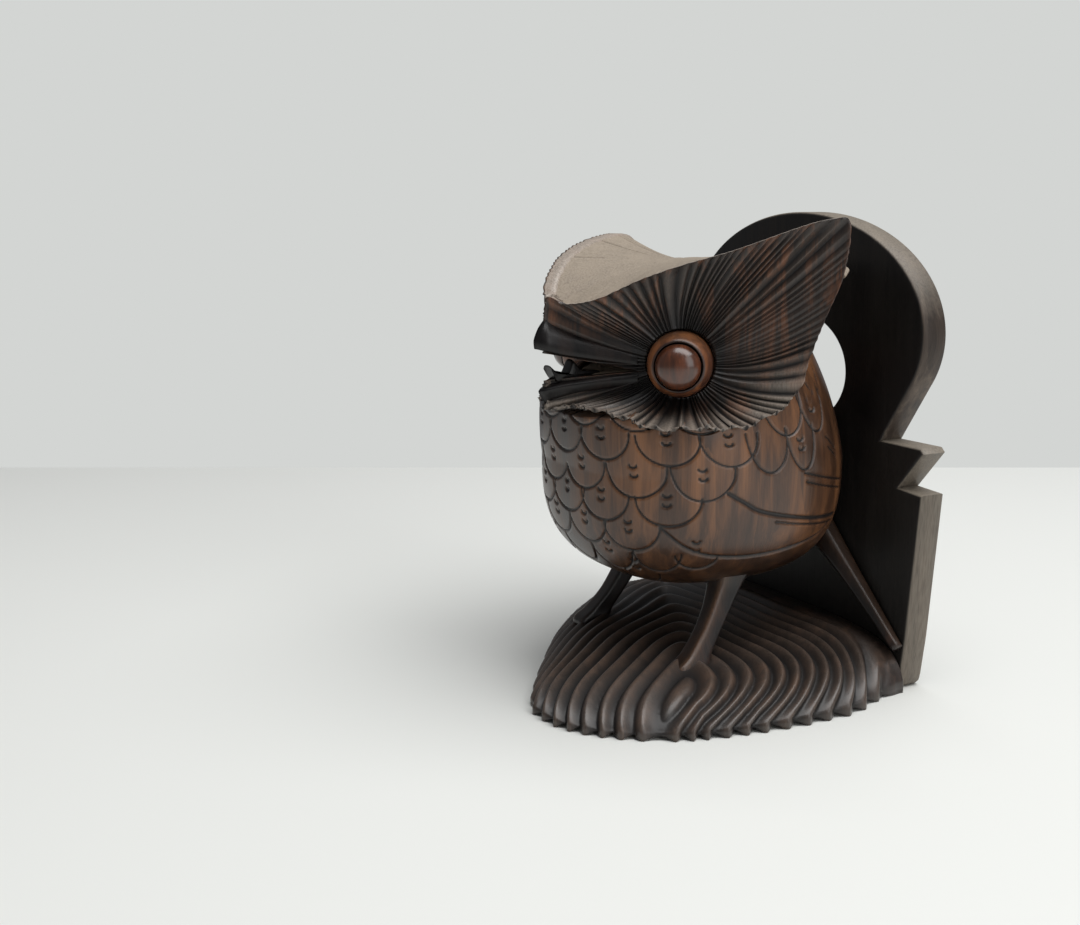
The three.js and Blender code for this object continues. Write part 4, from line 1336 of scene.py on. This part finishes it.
# ---- stage ----------------------------------------------------------------------------------
@dataclass
class Stage:
    """The camera, the soft overhead light and the pale table."""

    camera_place: Row = (0.3861, -0.2621, 0.1584)
    azimuth: float = math.radians(61.1)
    pitch: float = math.radians(10.6)
    lens: float = 46.67
    table_edge: float = 0.83        # m from below the camera to the table's far edge
    table_colour: str = "#e6e7e3"
    wall_colour: str = "#d3d5d3"
    fill: float = 0.17
    # Each light: name, place, aim, width, height, watts.
    lights: tuple[tuple[str, Row, Row, float, float, float], ...] = (
        ("overhead_softbox", (0.25, 0.25, 1.25), (0.0, 0.0, 0.08), 1.3, 1.3, 21.0),
        ("side_window", (1.25, 0.25, 0.55), (0.0, 0.0, 0.08), 0.8, 0.9, 4.2),
    )

    def back(self) -> Vector:
        """Gives the direction from the object to the camera."""
        a, e = self.azimuth, self.pitch
        return Vector((math.sin(a) * math.cos(e), -math.cos(a) * math.cos(e), math.sin(e)))

    def build(self) -> None:
        """Makes the camera, lights, table and wall light."""
        scene = bpy.context.scene
        scene.view_settings.view_transform = "Standard"
        lens = bpy.data.cameras.new("camera")
        lens.lens, lens.sensor_width = self.lens, 36.0
        camera = bpy.data.objects.new("camera", lens)
        camera.location = self.camera_place
        camera.rotation_mode = "QUATERNION"
        camera.rotation_quaternion = (-self.back()).to_track_quat("-Z", "Y")
        scene.collection.objects.link(camera)
        scene.camera = camera
        for name, place, aim, width, height, power in self.lights:
            lamp = bpy.data.lights.new(name, "AREA")
            lamp.shape, lamp.size, lamp.size_y, lamp.energy = "RECTANGLE", width, height, power
            holder = bpy.data.objects.new(name, lamp)
            holder.location = place
            holder.rotation_mode = "QUATERNION"
            holder.rotation_quaternion = (Vector(aim) - Vector(place)).to_track_quat("-Z", "Y")
            scene.collection.objects.link(holder)
        self.world(scene)
        self.table(scene)

    def world(self, scene: bpy.types.Scene) -> None:
        """Makes the dim room light, with the paler wall that shows behind the table."""
        world = bpy.data.worlds.new("room")
        world.use_nodes = True
        tree = world.node_tree
        tree.nodes.clear()
        room = add_node(tree, "ShaderNodeBackground", {
            "Color": (0.93, 0.96, 1, 1), "Strength": self.fill})
        wall = add_node(tree, "ShaderNodeBackground", {"Color": hex_colour(self.wall_colour)})
        seen = add_node(tree, "ShaderNodeLightPath").outputs["Is Camera Ray"]
        both = add_node(tree, "ShaderNodeMixShader", {0: seen, 1: room.outputs[0], 2: wall.outputs[0]})
        add_node(tree, "ShaderNodeOutputWorld", {"Surface": both.outputs[0]})
        scene.world = world

    def table(self, scene: bpy.types.Scene) -> None:
        """Makes the pale table top, whose far edge is level in the view."""
        away = Vector((-math.sin(self.azimuth), math.cos(self.azimuth), 0))
        right = Vector((math.cos(self.azimuth), math.sin(self.azimuth), 0))
        foot = Vector((self.camera_place[0], self.camera_place[1], 0))
        far, near = foot + away * self.table_edge, foot - away * 2.5
        corners = [far + right * 3, far - right * 3, near - right * 3, near + right * 3]
        mesh = bpy.data.meshes.new("table")
        mesh.from_pydata([tuple(c) for c in corners], [], [(0, 1, 2, 3)])
        table = bpy.data.objects.new("table", mesh)
        scene.collection.objects.link(table)
        material = bpy.data.materials.new("matt_painted_table")
        material.use_nodes = True
        paint = material.node_tree.nodes["Principled BSDF"]
        paint.inputs["Base Color"].default_value = hex_colour(self.table_colour)
        paint.inputs["Roughness"].default_value = 0.55
        mesh.materials.append(material)


def main() -> None:
    """Builds the owl piece by piece and sets the stage."""
    logging.basicConfig(level=logging.INFO, format="%(name)s: %(message)s")
    Stage().build()
    disc, body, mouth = FaceDisc(), FeatheredBody(), Mouth()
    mouths = {side: mouth.cutter(side) for side in Side}
    BackPanel().build()
    BaseMound().build()
    body.build(disc)
    Crown().build(disc, body, list(mouths.values()))
    for side in Side:
        disc.build(side, mouths[side])
        disc.eye.build(side)
    Beak().build()
    limbs = Limbs()
    for side in Side:
        limbs.leg(side)
        limbs.strut(side, body)
    for cutter in mouths.values():
        bpy.data.objects.remove(cutter)


if __name__ == "__main__":
    main()
